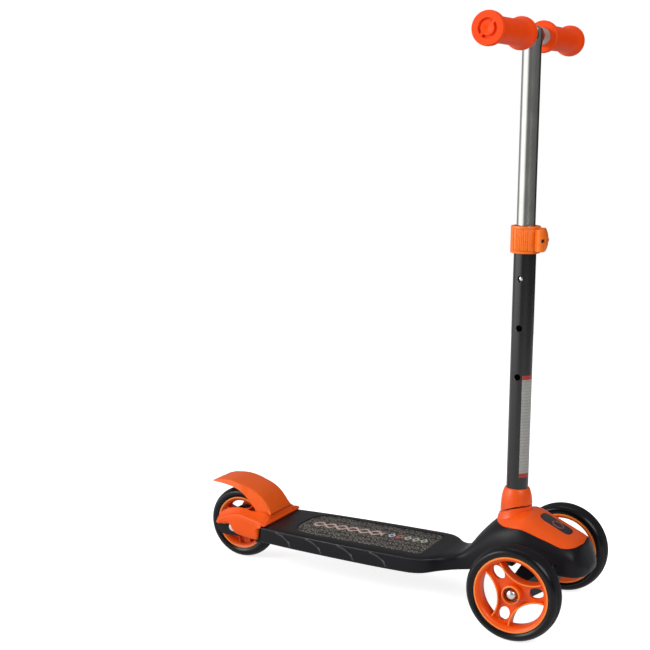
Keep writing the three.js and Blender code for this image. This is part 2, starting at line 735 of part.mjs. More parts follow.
// Everything above the tilted seam belongs to the cone round the column
function aboveSeam(drop) {
  const reach = deckHalfWidth;
  const slab = block(-reach, reach, -reach, reach, 0, reach);
  return moved(slab.rotate([0, -seamTilt, 0]), columnX, 0, seamHeight - drop);
}
const cone = moved(turned([
  [0, coverRearFloor], [coneRadius, coverRearFloor], [coneRadius, seamHeight],
  ...coneShares.map(([up, across]) => [
    columnRadius + coneWall + (coneRadius - columnRadius - coneWall) * across,
    seamHeight + (coneTop - seamHeight) * up]),
  [0, coneTop],
], 'z', 28), columnX, 0, 0);
const columnHole = moved(rod(columnRadius + fit, 0, coneTop + overrun, 'z', 28), columnX, 0, 0);
piece(scooter, 'neck_cone', cone.intersect(aboveSeam(-fit)).subtract(columnHole), 'orange');

const insetSlope = (x) => coverTopAtAxle - (x - frontX) * Math.tan(tilt);
function insetBlock(grow, from, to) {
  const corner = insetHalfWidth - slack;
  const along = insetLength / 2 + grow;
  const across = insetHalfWidth + grow;
  const plan = rounded([
    [-along, -across, corner], [along, -across, corner], [along, across, corner], [-along, across, corner],
  ], 6);
  const x = frontX + insetAt;
  return moved(extruded(plan, from, to, 'z').rotate([0, steerTilt, 0]), x, 0, insetSlope(x));
}

const formWithFlare = form.add(flare);
const tightCover = extruded(coverOutline(-coverWall), coverRearFloor - houseHeight, coneTop, 'z');
const collarCore = moved(rod(coneRadius, 0, coneTop, 'z', 28), columnX, 0, 0);
const coverHollow = moved(form, 0, 0, -coverWall).intersect(tightCover).subtract(collarCore);
const coverBody = formWithFlare.intersect(extruded(coverOutline(0), 0, coneTop, 'z'))
  .intersect(aboveCoverFloor(0)).subtract(aboveSeam(0)).subtract(columnHole)
  .subtract(insetBlock(fit, -insetDepth - fit, coverWall));
piece(scooter, 'front_cover', coverBody.subtract(coverHollow), 'orange');
piece(scooter, 'cover_inset', insetBlock(0, -insetDepth, 0), 'inset');

// Deck and housing: the form less the cover, then pockets, socket, steering seat and fork

const underBlock = (from, to, half, floor, ceiling) => (
  block(frontX + from, frontX + to, -half, half, floor, ceiling));
const padRearX = deckRearX + padRearAt;
const padFrontX = padRearX + padLength;
const padOutline = (grow) => rounded([
  [padRearX - grow, -padHalfWidth - grow, padRearCorner],
  [padFrontX + grow, -padHalfWidth - grow, padFrontCorner],
  [padFrontX + grow, padHalfWidth + grow, padFrontCorner],
  [padRearX - grow, padHalfWidth + grow, padRearCorner],
], 6);
const padTop = deckTop - padSink;
const pad = extruded(padOutline(0), padTop - padThickness, padTop, 'z');
const padRecess = extruded(padOutline(fit), padTop - padThickness - fit, deckTop + overrun, 'z');

const bayEnd = deckRearX + (neckX - deckRearX) * bayShare;
const bayRoom = extruded([
  [deckRearX + deckSkin, -deckHalfWidth * deckShares[0][1] + deckSkin],
  [bayEnd, -deckHalfWidth + deckSkin], [bayEnd, deckHalfWidth - deckSkin],
  [deckRearX + deckSkin, deckHalfWidth * deckShares[0][1] - deckSkin],
], 0, deckTop - deckSkin, 'z');
const bayPitch = (bayEnd - deckRearX - deckSkin + rib) / bayCount;
const bayRibs = Array.from({ length: bayCount - 1 }, (_, i) => {
  const x = deckRearX + deckSkin + bayPitch * (i + 1);
  return block(x - rib, x, -deckHalfWidth, deckHalfWidth, 0, deckTop);
});
const spine = block(deckRearX, bayEnd + overrun, -rib / 2, rib / 2, 0, deckTop);
const bays = bayRoom.subtract(joined([...bayRibs, spine]));

const neckPocket = extruded(neckPocketShares.map(([along, up]) => (
  [neckX + (noseX - neckX) * along, deckBottom + houseHeight * up])), -neckPocketHalf, neckPocketHalf, 'y');
const socket = moved(rod(socketRadius, underside, underside + cavityHeight / 2, 'z', 28),
  columnX, 0, 0);
const socketBore = moved(rod(columnRadius + fit, socketFloor, coneTop + overrun, 'z', 28), columnX, 0, 0);
const socketFoot = socketFloor - socketFloorThickness;
const plugHole = moved(rod(screwRadius + fit, 0, socketFloor + overrun, 'z')
  .add(rod(screwHeadRadius + fit, 0, socketFoot, 'z')), columnX, 0, 0);
const cavity = underBlock(-cavityRear, cavityFront, deckHalfWidth + overrun, 0, cavityHeight);
const seatBoss = moved(leaning(rod(seatRadius, seatFace, seatTop + rib, 'z', 28)), frontX, 0, 0);
const seatRoom = moved(leaning(rod(rubberRadius + slack, -rubberFoot, seatFace, 'z', 28)), frontX, 0, 0);
const nutPocket = moved(leaning(rod(nutPocketRadius, seatTop, houseHeight, 'z', 28)), frontX, 0, 0);
const kingpinHole = moved(leaning(rod(kingpinRadius + fit, 0, houseHeight, 'z')), frontX, 0, 0);
const upperRoom = underBlock(-upperRoomRear, upperRoomFront, upperRoomHalf, cavityHeight + rib, coneTop);
const nosePocket = underBlock(cavityFront + rib, nosePocketFront, nosePocketHalf, 0, cavityHeight);

const rearScrewX = rearX + rearScrewAhead;
const forkSide = [
  [rearX - forkEndRadius, rearWheelRadius],
  ...arc(forkEndRadius, 180, 270, 6, rearX, rearWheelRadius).slice(1),
  [deckRearX + forkRoot, deckBottom], [deckRearX + forkRoot, forkTop],
  [rearX + forkEndRadius, forkTop], ...arc(forkEndRadius, 60, 180, 8, rearX, rearWheelRadius).slice(0, -1),
];
const forkArm = extruded(forkSide, forkInner, forkOuter, 'y');
const forkFoot = block(
  deckRearX - forkRoot, deckRearX + forkRoot, forkInner, forkFootHalf, deckBottom, forkTop);
const forkHalf = forkArm.add(forkFoot)
  .subtract(moved(rod(axleRadius + fit, 0, deckHalfWidth, 'y'), rearX, 0, rearWheelRadius))
  .subtract(moved(rod(screwRadius + fit, 0, deckTop + overrun, 'z'), rearScrewX, rearScrewY, 0));
const fork = forkHalf.add(forkHalf.mirror([0, 1, 0]));

const coverRoom = extruded(coverOutline(fit), 0, coneTop + overrun, 'z').intersect(aboveCoverFloor(fit));
const housing = form.subtract(coverRoom).subtract(bays).subtract(padRecess).subtract(neckPocket)
  .subtract(cavity).subtract(nosePocket).subtract(upperRoom).add(seatBoss).add(socket)
  .subtract(coverRoom).subtract(seatRoom).subtract(nutPocket).subtract(kingpinHole)
  .subtract(socketBore).subtract(plugHole).add(fork);
piece(scooter, 'deck_body', housing, 'black');
piece(scooter, 'deck_pad', pad, 'pad');

// Column: outer tube, foot plug and screw, guide bush and the sliding upper tube

const column = groupAt(scooter, columnX, 0, 0);
const columnInner = columnRadius - columnWall;
const holeHeights = Array.from({ length: holeCount }, (_, i) => topHoleHeight - i * holeSpacing);
const tube = ring(columnRadius, columnInner, columnFoot, columnTop, 'z', 28);
const pinHoles = joined(holeHeights.map((height) => (
  moved(rod(holeRadius, -columnRadius - overrun, 0, 'y'), 0, 0, height))));
piece(column, 'lower_tube', tube.subtract(pinHoles), 'columnBlack');
const plugTop = columnFoot + plugLength;
const plug = rod(columnInner - fit, columnFoot, plugTop, 'z', 28)
  .subtract(rod(screwRadius + fit, 0, plugTop - rib, 'z'));
piece(column, 'column_plug', plug, 'black');
const columnScrew = rod(screwRadius, socketFoot - fit, plugTop - rib - fit, 'z')
  .add(rod(screwHeadRadius, socketFoot - fit - screwHeadHeight, socketFoot - fit, 'z'));
piece(column, 'column_screw', columnScrew, 'steel');
const bushOuter = columnInner - fit;
const bush = ring(bushOuter, innerTubeRadius + fit, columnTop - bushLength, columnTop + fit, 'z', 28)
  .add(ring(columnRadius, innerTubeRadius + fit, columnTop + fit, columnTop + fit + bushLip, 'z', 28));
piece(column, 'guide_bush', bush, 'black');

const barHalf = gripOuter - gripEndWall - fit;
const innerBore = innerTubeRadius - innerTubeWall;
const bar = moved(rod(barRadius, -barHalf, barHalf, 'y', 24), 0, 0, barHeight);
const barBore = moved(
  rod(barRadius - barWall, -barHalf - overrun, barHalf + overrun, 'y', 24), 0, 0, barHeight);
const stem = rod(innerTubeRadius, innerTubeFoot, barHeight, 'z', 28);
const stemBore = rod(innerBore, innerTubeFoot - overrun, barHeight - barRadius, 'z', 28);
const buttonHole = moved(rod(buttonRadius + fit, -columnRadius, 0, 'y'), 0, 0, topHoleHeight);
const handlebar = stem.subtract(stemBore).add(bar).subtract(barBore).subtract(buttonHole);
piece(column, 'handlebar', handlebar, 'silver');

const gripBore = barRadius + fit;
const gripLength = gripOuter - gripInner;
const gripBody = gripShares.map(([along, across]) => [
  gripWaistRadius + (gripFlangeRadius - gripWaistRadius) * across, gripInner + gripLength * along]);
const gripShell = turned([[0, gripInner], ...gripBody, [0, gripOuter]], 'y', 28)
  .subtract(rod(gripBore, gripInner - overrun, gripOuter - gripEndWall, 'y', 24));
const slot = ring(gripSlotOuter, gripSlotInner, gripOuter - gripEndWall - overrun, gripOuter + overrun, 'y')
  .subtract(block(-gripBridgeWidth / 2, gripBridgeWidth / 2, gripInner, gripOuter + overrun,
    -gripFlangeRadius, gripFlangeRadius).rotate([0, 45, 0]));
const grip = moved(gripShell.subtract(slot), 0, 0, barHeight);
piece(column, 'grip_left', grip, 'orange');
piece(column, 'grip_right', grip.mirror([0, 1, 0]), 'orange');

// Snap button, held in level with the tube wall, and the bent leaf behind it

const buttonTip = innerTubeRadius - buttonTipBack;
const button = rod(buttonRadius, -buttonTip, -buttonFlangeAt + buttonFlangeThickness, 'y')
  .add(rod(buttonFlangeRadius, -buttonFlangeAt, -buttonFlangeAt + buttonFlangeThickness, 'y'));
piece(column, 'snap_button', moved(button, 0, 0, topHoleHeight), 'steel');
const leafFace = -buttonFlangeAt + buttonFlangeThickness + fit;
const leafBack = Math.sqrt((innerBore - fit) ** 2 - (buttonSpringWidth / 2) ** 2);
const leafFoot = topHoleHeight - buttonSpringLength;
const leafTop = topHoleHeight + buttonFlangeRadius;
const leafThick = buttonSpringThickness;
const leaf = extruded([
  [leafFace, leafTop], [leafFace, leafFoot], [leafBack, leafFoot], [leafBack, leafTop],
  [leafBack - leafThick, leafTop], [leafBack - leafThick, leafFoot + leafThick],
  [leafFace + leafThick, leafFoot + leafThick], [leafFace + leafThick, leafTop],
], -buttonSpringWidth / 2, buttonSpringWidth / 2, 'x');
piece(column, 'button_spring', leaf, 'steel');

// Clamp: slit collar with two ears, cross bolt, pin and wrap-round lever

const clampTop = clampBottom + clampHeight;
const clampMiddle = (clampBottom + clampTop) / 2;
const earOuter = clampSlit / 2 + clampEarThickness;
const recess = ring(clampRingRadius + overrun, clampRecessRadius - fit, clampBottom + clampRim,
  clampTop - clampRim, 'z', 28);
const clampRoom = clampEarReach * 2;
const recessSide = block(-clampRoom, clampRoom, -clampRoom, 0, clampBottom, clampTop);
const ears = block(
  columnRadius, clampEarReach, -earOuter, earOuter, clampBottom + clampRim, clampTop - clampRim);
const clampSlot = block(
  0, clampEarReach + overrun, -clampSlit / 2, clampSlit / 2, clampBottom - overrun, clampTop + overrun);
const clampBoltHole = moved(
  rod(clampBoltRadius + fit, -clampEarReach, clampEarReach, 'y'), clampBoltAt, 0, clampMiddle);
const clampShell = rod(clampRingRadius, clampBottom, clampTop, 'z', 28)
  .subtract(recess.intersect(recessSide)).add(ears)
  .subtract(rod(columnRadius + fit, clampBottom - overrun, clampTop + overrun, 'z', 28))
  .subtract(clampSlot).subtract(clampBoltHole);
piece(column, 'clamp_collar', clampShell, 'orange');
const pinY = -earOuter - fit - leverKnuckleRadius;
const eyeHalf = clampHeight * eyeShare / 2;
const leverPinHole = moved(rod(leverPinRadius + fit, clampBottom, clampTop, 'z'), clampBoltAt, pinY, 0);
const eye = moved(rod(leverKnuckleRadius - fit, clampMiddle - eyeHalf, clampMiddle + eyeHalf, 'z'),
  clampBoltAt, pinY, 0).subtract(leverPinHole);
const boltEnd = earOuter + fit + clampNutThickness;
const bolt = moved(
  rod(clampBoltRadius, pinY + leverPinRadius + fit + fit, boltEnd, 'y'), clampBoltAt, 0, clampMiddle);
piece(column, 'clamp_bolt', eye.add(bolt), 'steel');
const clampNut = extruded(arc(clampNutRadius, 0, 300, 5), earOuter + fit, boltEnd, 'y')
  .subtract(rod(clampBoltRadius + fit, 0, boltEnd + overrun, 'y'));
piece(column, 'clamp_nut', moved(clampNut, clampBoltAt, 0, clampMiddle), 'steel');
const leverFoot = clampBottom + clampRim + fit;
const leverHead = clampTop - clampRim - fit;
const leverPin = moved(rod(leverPinRadius, leverFoot, leverHead, 'z'), clampBoltAt, pinY, 0);
piece(column, 'lever_pin', leverPin, 'steel');
const leverArc = [
  ...arc(clampRingRadius, leverFrom, leverTo, 16), [clampBoltAt, pinY - leverKnuckleRadius],
  [clampBoltAt, pinY + leverKnuckleRadius - fit],
  ...arc(clampRecessRadius, leverTo + leverInnerTrim, leverFrom, 14),
];
const leverRibs = Array.from({ length: leverRibCount }, (_, i) => {
  const angle = rad(leverFrom + ((leverTo - leverFrom) * leverRibShare * (i + 0.5)) / leverRibCount);
  return moved(rod(leverRibDepth * 2, leverFoot - overrun, leverHead + overrun, 'z', 8),
    clampRingRadius * Math.cos(angle), clampRingRadius * Math.sin(angle), 0);
});
const knuckle = moved(rod(leverKnuckleRadius, leverFoot, leverHead, 'z'), clampBoltAt, pinY, 0);
const eyeRoom = block(clampBoltAt - leverKnuckleRadius - slack, clampBoltAt + leverKnuckleRadius + slack,
  pinY - leverKnuckleRadius - slack, 0, clampMiddle - eyeHalf - fit, clampMiddle + eyeHalf + fit);
const lever = extruded(leverArc, leverFoot, leverHead, 'z').add(knuckle).subtract(eyeRoom)
  .subtract(joined(leverRibs)).subtract(leverPinHole);
piece(column, 'clamp_lever', lever, 'orange');

// Rear cover over the fork, and the fender that presses on the tyre as a brake

const behind = (shares) => shares.map(([along, up]) => (
  [rearX + rearWheelRadius * along, rearWheelRadius * up]));
const cheekSide = extruded(behind(cheekShares), -deckHalfWidth, deckHalfWidth, 'y');
const cheekPlan = (inset) => extruded([
  [rearX - cheekTail, -cheekTailHalf + inset], [rearX + cheekFront, -cheekFrontHalf + inset],
  [rearX + cheekFront, cheekFrontHalf - inset], [rearX - cheekTail, cheekTailHalf - inset],
], 0, coneTop, 'z');
const wheelWay = block(rearX - wheelbase, rearX + cheekFront + overrun, -fenderHalfWidth - cheekGap,
  fenderHalfWidth + cheekGap, 0, coneTop);
const aboveFork = block(deckRearX - forkRoot - rearCoverThickness, rearX + wheelbase,
  -deckHalfWidth, deckHalfWidth, forkTop + fit, coneTop);
const hollowUnder = moved(cheekSide, 0, 0, -rearCoverThickness).intersect(cheekPlan(rearCoverThickness))
  .subtract(aboveFork);
const forkFootRoom = block(deckRearX - forkRoot - slack, rearX + wheelbase, -forkFootHalf - slack,
  forkFootHalf + slack, 0, forkTop + fit);
const cheeks = cheekSide.intersect(cheekPlan(0))
  .subtract(wheelWay).subtract(hollowUnder).subtract(forkFootRoom);
const flangeOutline = rounded([
  [deckRearX - slack, -flangeHalf, 0], [deckRearX + flangeReach, -flangeHalf, flangeCorner],
  [deckRearX + flangeReach, flangeHalf, flangeCorner], [deckRearX - slack, flangeHalf, 0],
]);
const flange = extruded(flangeOutline, deckTop + fit, coverPlateTop, 'z');
const riserRear = deckRearX + fit;
const riserTop = coverPlateTop + riserHeight;
const riser = extruded([
  [riserRear, deckTop], [riserRear + riserThickness, deckTop],
  [riserRear + riserThickness, coverPlateTop],
  [riserRear + riserThickness - riserBevel, riserTop - riserBevel / 2],
  [riserRear + riserThickness / 2, riserTop], [riserRear, riserTop],
], -fenderHalfWidth - cheekGap * 2, fenderHalfWidth + cheekGap * 2, 'y');
const pinX = rearX + rearWheelRadius * fenderPinShares[0];
const fenderPinHeight = rearWheelRadius * fenderPinShares[1];
const pinBore = moved(
  rod(fenderPinRadius + fit, -deckHalfWidth, deckHalfWidth, 'y'), pinX, 0, fenderPinHeight);
const coverScrewBore = (y) => moved(rod(screwRadius + fit, 0, coverBossTop, 'z'), rearScrewX, y, 0);
const rearCover = cheeks.add(flange).add(riser)
  .subtract(block(deckRearX, rearX + wheelbase, -deckHalfWidth, deckHalfWidth, 0, deckTop + fit))
  .subtract(pinBore).subtract(coverScrewBore(rearScrewY)).subtract(coverScrewBore(-rearScrewY));
piece(scooter, 'rear_cover', rearCover, 'orange');
const coverScrew = rod(screwRadius, deckBottom - fit, coverBossTop - fit, 'z')
  .add(rod(screwHeadRadius, deckBottom - fit - screwHeadHeight, deckBottom - fit, 'z'));
piece(scooter, 'rear_cover_screw_left', moved(coverScrew, rearScrewX, rearScrewY, 0), 'steel');
piece(scooter, 'rear_cover_screw_right', moved(coverScrew, rearScrewX, -rearScrewY, 0), 'steel');
const pinHalf = fenderHalfWidth + cheekGap + rearCoverThickness;
const fenderPin = rod(fenderPinRadius, -pinHalf, pinHalf, 'y');
piece(scooter, 'fender_pin', moved(fenderPin, pinX, 0, fenderPinHeight), 'steel');

const fenderPlan = (inset) => extruded([
  [rearX - fenderTail - overrun, -fenderTailHalfWidth + inset],
  [rearX + fenderWide, -fenderHalfWidth + inset],
  [deckRearX + forkRoot, -fenderHalfWidth + inset],
  [deckRearX + forkRoot, fenderHalfWidth - inset],
  [rearX + fenderWide, fenderHalfWidth - inset],
  [rearX - fenderTail - overrun, fenderTailHalfWidth - inset],
], 0, coneTop, 'z');
const fenderTopLine = behind(fenderTopShares);
const fenderOutline = [...fenderTopLine, ...behind(fenderSkirtShares)];
const fenderSide = extruded(fenderOutline, -deckHalfWidth, deckHalfWidth, 'y');
const fenderUnder = extruded([
  ...fenderTopLine.map(([x, z]) => [x, z - fenderThickness]),
  [fenderTopLine[fenderTopLine.length - 1][0], 0], [fenderTopLine[0][0], 0],
], -deckHalfWidth, deckHalfWidth, 'y').intersect(fenderPlan(fenderThickness));
const fenderEar = (y) => moved(
  rod(fenderEarRadius, y, y + fenderEarThickness, 'y'), pinX, 0, fenderPinHeight);
const fender = fenderSide.intersect(fenderPlan(0)).subtract(fenderUnder)
  .add(fenderEar(fenderHalfWidth - fenderEarThickness)).add(fenderEar(-fenderHalfWidth))
  .subtract(pinBore);
piece(scooter, 'brake_fender', fender, 'orange');
const springEnd = fenderHalfWidth - fenderEarThickness - fit;
const fenderSpring = ring(
  fenderSpringRadius, fenderPinRadius + fit, springEnd - fenderSpringLength, springEnd, 'y');
piece(scooter, 'fender_spring', moved(fenderSpring, pinX, 0, fenderPinHeight), 'steel');

export default scooter;
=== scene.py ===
import math

import bpy
import bmesh
from mathutils import Matrix, Vector


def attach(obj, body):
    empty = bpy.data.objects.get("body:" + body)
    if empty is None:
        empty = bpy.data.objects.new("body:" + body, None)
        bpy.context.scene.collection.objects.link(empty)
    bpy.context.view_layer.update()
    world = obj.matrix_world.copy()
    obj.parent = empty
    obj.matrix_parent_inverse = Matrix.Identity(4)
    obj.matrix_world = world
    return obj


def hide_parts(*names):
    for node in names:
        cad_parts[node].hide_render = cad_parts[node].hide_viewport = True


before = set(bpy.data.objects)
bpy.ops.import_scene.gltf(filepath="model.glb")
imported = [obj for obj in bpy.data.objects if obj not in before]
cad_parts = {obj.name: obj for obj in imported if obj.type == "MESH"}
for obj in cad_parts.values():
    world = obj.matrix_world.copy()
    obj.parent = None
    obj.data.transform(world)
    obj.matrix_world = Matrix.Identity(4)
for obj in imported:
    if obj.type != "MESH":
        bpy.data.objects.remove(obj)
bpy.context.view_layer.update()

# Camera and studio. A pale floor in a white surround, lit by three round soft lamps and seen through a
# short telephoto lens from ahead and to the rider's right. Metal reflects a plain grey studio instead.

MM = 0.001


def stand(name, data):
    """An object in the scene that holds the data."""
    obj = bpy.data.objects.new(name, data)
    bpy.context.scene.collection.objects.link(obj)
    return obj


camera_place = Vector((721.3, -1530.6, 641.9)) * MM
camera_turn, camera_rise, camera_roll = (math.radians(a) for a in (28.32, 9.51, 0.46))
camera_back = Vector((math.sin(camera_turn) * math.cos(camera_rise),
                      -math.cos(camera_turn) * math.cos(camera_rise), math.sin(camera_rise)))
level_right = (-camera_back).cross(Vector((0, 0, 1))).normalized()
level_up = level_right.cross(-camera_back)
camera_right = level_right * math.cos(camera_roll) + level_up * math.sin(camera_roll)
camera_up = level_up * math.cos(camera_roll) - level_right * math.sin(camera_roll)
camera = stand("camera", bpy.data.cameras.new("camera"))
camera.data.lens = 71.31
camera.data.clip_start, camera.data.clip_end = 0.05, 60
camera.matrix_world = Matrix.Translation(camera_place) @ Matrix(
    (camera_right, camera_up, camera_back)).transposed().to_4x4()
bpy.context.scene.camera = camera
bpy.context.scene.view_settings.view_transform = "Standard"

lamp_aim = Vector((0, 0, 0.42))
for name, place, size, watts, tint in [
    ("soft_key", (-1.7, -1.75, 1.35), 1.3, 34, (1, 0.985, 0.96)),
    ("front_fill", (2.0, -1.1, 1.8), 1.5, 31, (1, 1, 1)),
    ("top_fill", (-0.2, 0.3, 2.4), 1.4, 5, (1, 1, 1)),
]:
    lamp = stand(name, bpy.data.lights.new(name, "AREA"))
    lamp.data.shape, lamp.data.size, lamp.data.energy, lamp.data.color = "DISK", size, watts, tint
    lamp.location = place
    lamp.rotation_euler = (lamp_aim - Vector(place)).to_track_quat("-Z", "Y").to_euler()


class Link:
    """One socket of a material; sums on it add maths nodes."""

    def __init__(self, tree, socket):
        self.tree, self.socket = tree, socket

    def maths(self, operation, *others):
        node = self.tree.nodes.new("ShaderNodeMath")
        node.operation = operation
        for i, value in enumerate(others):
            plug(self.tree, value, node.inputs[i])
        return Link(self.tree, node.outputs[0])

    def __add__(self, other):
        return self.maths("ADD", self, other)

    def __sub__(self, other):
        return self.maths("SUBTRACT", self, other)

    def __rsub__(self, other):
        return self.maths("SUBTRACT", other, self)

    def __mul__(self, other):
        return self.maths("MULTIPLY", self, other)

    def __truediv__(self, other):
        return self.maths("DIVIDE", self, other)

    def __lt__(self, other):
        return self.maths("LESS_THAN", self, other)

    def __gt__(self, other):
        return self.maths("GREATER_THAN", self, other)

    def size(self):
        return self.maths("ABSOLUTE", self)

    def whole(self):
        return self.maths("FLOOR", self)

    def part(self):
        return self.maths("FRACT", self)

    def turn_from(self, other):
        return self.maths("ARCTAN2", self, other) / math.tau

    def sine(self):
        return self.maths("SINE", self)

    def root(self):
        return self.maths("SQRT", self)

    def most(self, other):
        return self.maths("MAXIMUM", self, other)

    def least(self, other):
        return self.maths("MINIMUM", self, other)


def plug(tree, value, socket):
    if isinstance(value, Link):
        tree.links.new(value.socket, socket)
    else:
        socket.default_value = value


class Finish:
    """A material and its node tree."""

    def __init__(self, name, kind="Material"):
        makers = {"Material": bpy.data.materials, "World": bpy.data.worlds}
        self.kind = kind
        self.material = makers[kind].new(name)
        self.material.use_nodes = True
        self.tree = self.material.node_tree
        self.tree.nodes.clear()

    def add(self, kind, settings=(), **values):
        """A node of any kind; each value goes to the socket of its name, or s and the socket's number."""
        node = self.tree.nodes.new("ShaderNode" + kind)
        for key, setting in dict(settings).items():
            setattr(node, key, setting)
        for key, value in values.items():
            plug(self.tree, value, node.inputs[int(key[1:]) if key[1:].isdigit() else key.replace("_", " ")])
        return node

    def out(self, node, name=0):
        return Link(self.tree, node.outputs[name])

    def show(self, shader):
        output = self.tree.nodes.new("ShaderNodeOutput" + self.kind)
        self.tree.links.new(shader.outputs[0], output.inputs["Surface"])
        return self.material

    def ease(self, value, low, high):
        """Rises smoothly from 0 at low to 1 at high."""
        return self.out(self.add("MapRange", {"interpolation_type": "SMOOTHSTEP"}, Value=value,
                                 From_Min=low, From_Max=high))

    def mix(self, share, first, second):
        return self.out(self.add("Mix", {"data_type": "RGBA"}, s0=share, s6=first, s7=second), 2)

    def place(self, kind="Object"):
        """Where a point lies on the piece, in metres, or another of the coordinates that it has."""
        return self.out(self.add("TexCoord"), kind)

    def axis(self, letter, vector):
        return self.out(self.add("SeparateXYZ", Vector=vector), letter)

    def noise(self, scale, detail, where=None, output=0):
        node = self.add("TexNoise", Vector=where or self.place(), Scale=scale, Detail=detail)
        return self.out(node, output)

    def surface(self, tone, roughness, height, strength, depth, gloss=0.5, metallic=0.0):
        """Shows a surface of one tone, with a fine relief that is so many metres deep."""
        relief = self.out(self.add("Bump", Strength=strength, Distance=depth, Height=height))
        return self.show(self.add("BsdfPrincipled", Base_Color=tone, Roughness=roughness, Metallic=metallic,
                                  Specular_IOR_Level=gloss, Normal=relief))


def colour(red, green, blue):
    """A colour read off a screen, as the renderer counts it."""
    def linear(level):
        share = level / 255
        return share / 12.92 if share <= 0.04045 else ((share + 0.055) / 1.055) ** 2.4
    return (linear(red), linear(green), linear(blue), 1)


surround = Finish("surround", "World")
sky_path, sky_where = surround.add("LightPath"), surround.place("Generated")
seen = surround.out(sky_path, "Is Camera Ray").most(surround.out(sky_path, "Is Transmission Ray"))


def toward(x, y, z):
    """How squarely a ray into the surround runs in a direction."""
    product = surround.add("VectorMath", {"operation": "DOT_PRODUCT"}, s0=sky_where, s1=(x, y, z))
    return surround.out(product, "Value")


bright_side = surround.ease(toward(-0.988, -0.147, 0.05), 0.1, 0.95)
dark_side = surround.ease(toward(0.401, 0.916, 0.0), 0.8, 0.97)
far_side = surround.ease(toward(0.9, 0.43, 0.0), 0.1, 0.9)
low_sky = 1 - surround.ease(toward(0, 0, 1).size(), 0.3, 0.45)
tall_strip = surround.ease(toward(-0.788, -0.616, 0.0), 0.68, 0.97) * low_sky
around = (toward(0, 0, 0.1) + bright_side * 0.25 + tall_strip * 1.7 + 0.22
          - dark_side * 0.18 - far_side * 0.03).most(0.03)
sky_light = surround.add("Background", Color=(1, 1, 1, 1), Strength=seen + (1 - seen) * around)
bpy.context.scene.world = surround.show(sky_light)

floor_reach, floor_grey = 2, 0.72
floor_mesh = bpy.data.meshes.new("floor")
floor_corners = ((-1, -1), (1, -1), (1, 1), (-1, 1))
floor_mesh.from_pydata([(x * floor_reach, y * floor_reach, 0) for x, y in floor_corners], [], [(0, 1, 2, 3)])
floor = stand("floor", floor_mesh)
floor_finish = Finish("pale_floor")
floor_path = floor_finish.add("LightPath")
floor_shine = floor_finish.out(floor_path, "Is Camera Ray").most(
    floor_finish.out(floor_path, "Is Glossy Ray") * 0.35)
floor_paint = floor_finish.add("BsdfDiffuse", Color=(floor_grey, floor_grey, floor_grey, 1))
floor_glow = floor_finish.add("Emission", Color=(1, 1, 1, 1), Strength=floor_shine * 0.8)
floor_mesh.materials.append(floor_finish.show(floor_finish.add(
    "AddShader", s0=floor_finish.out(floor_paint), s1=floor_finish.out(floor_glow))))

# Deck and steering housing. One injection moulded tray in black polypropylene that narrows to a
# neck and swells into the housing over the front axle, with ribs below and a fork at the back.

front_x, wheelbase = 214.5, 448
rear_x = front_x - wheelbase
front_radius, rear_radius = 60, 51
column_x, column_bore = front_x - 34.5, 14.3
deck_rear_x = rear_x + rear_radius + 6
neck_x, nose_x = front_x - 125, front_x + 70
deck_top, deck_bottom = 66, 41
deck_half, house_half, house_height = 60, 47, 98
deck_rows = [
    (0, 0.83, 0, 9), (0.08, 0.865, 0, 9), (0.2, 0.915, 0, 9), (0.34, 0.95, 0, 9), (0.5, 0.98, 0, 9),
    (0.7, 1, 0, 9), (0.86, 1, 0.02, 9), (0.905, 0.985, 0.05, 9), (0.935, 0.945, 0.08, 9),
    (0.96, 0.875, 0.11, 8), (0.98, 0.8, 0.14, 7),
]
house_rows = [
    (0, 0.915, 0.255, 0.041, 0.4, 6, 8), (0.036, 0.81, 0.262, 0.046, 0.4, 5, 7),
    (0.077, 0.725, 0.275, 0.054, 0.4, 4.5, 6), (0.117, 0.672, 0.306, 0.065, 0.4, 4, 6),
    (0.155, 0.65, 0.37, 0.075, 0.4, 3.4, 6), (0.191, 0.65, 0.455, 0.087, 0.4, 3, 6),
    (0.232, 0.68, 0.57, 0.112, 0.4, 2.6, 6), (0.284, 0.745, 0.69, 0.158, 0.4, 2.4, 6),
    (0.335, 0.81, 0.79, 0.214, 0.4, 2.4, 6), (0.387, 0.872, 0.86, 0.26, 0.38, 2.45, 6),
    (0.439, 0.925, 0.905, 0.286, 0.36, 2.5, 6), (0.5, 0.975, 0.95, 0.291, 0.34, 2.5, 7),
    (0.568, 0.995, 0.985, 0.291, 0.32, 2.5, 8), (0.61, 1, 0.963, 0.29, 0.32, 2.5, 8),
    (0.68, 1, 0.898, 0.286, 0.32, 2.5, 8), (0.76, 0.985, 0.823, 0.281, 0.33, 2.5, 8),
    (0.84, 0.95, 0.749, 0.272, 0.35, 2.55, 8), (0.9, 0.89, 0.692, 0.267, 0.37, 2.6, 8),
    (0.928, 0.83, 0.645, 0.265, 0.38, 2.6, 8), (0.945, 0.775, 0.58, 0.265, 0.4, 2.5, 7),
    (0.963, 0.68, 0.503, 0.267, 0.42, 2.5, 6), (0.982, 0.52, 0.424, 0.275, 0.45, 2.4, 5),
    (1, 0.25, 0.348, 0.3, 0.5, 2.4, 4),
]
form_rows = [
    (deck_rear_x + (neck_x - deck_rear_x) * along, deck_half * wide, deck_top,
     deck_bottom + (deck_top - deck_bottom) * low, 0.5, bend, 9)
    for along, wide, low, bend in deck_rows
] + [
    (neck_x + (nose_x - neck_x) * along, house_half * wide, deck_bottom + house_height * high,
     deck_bottom + house_height * low, *rest)
    for along, wide, high, low, *rest in house_rows
]


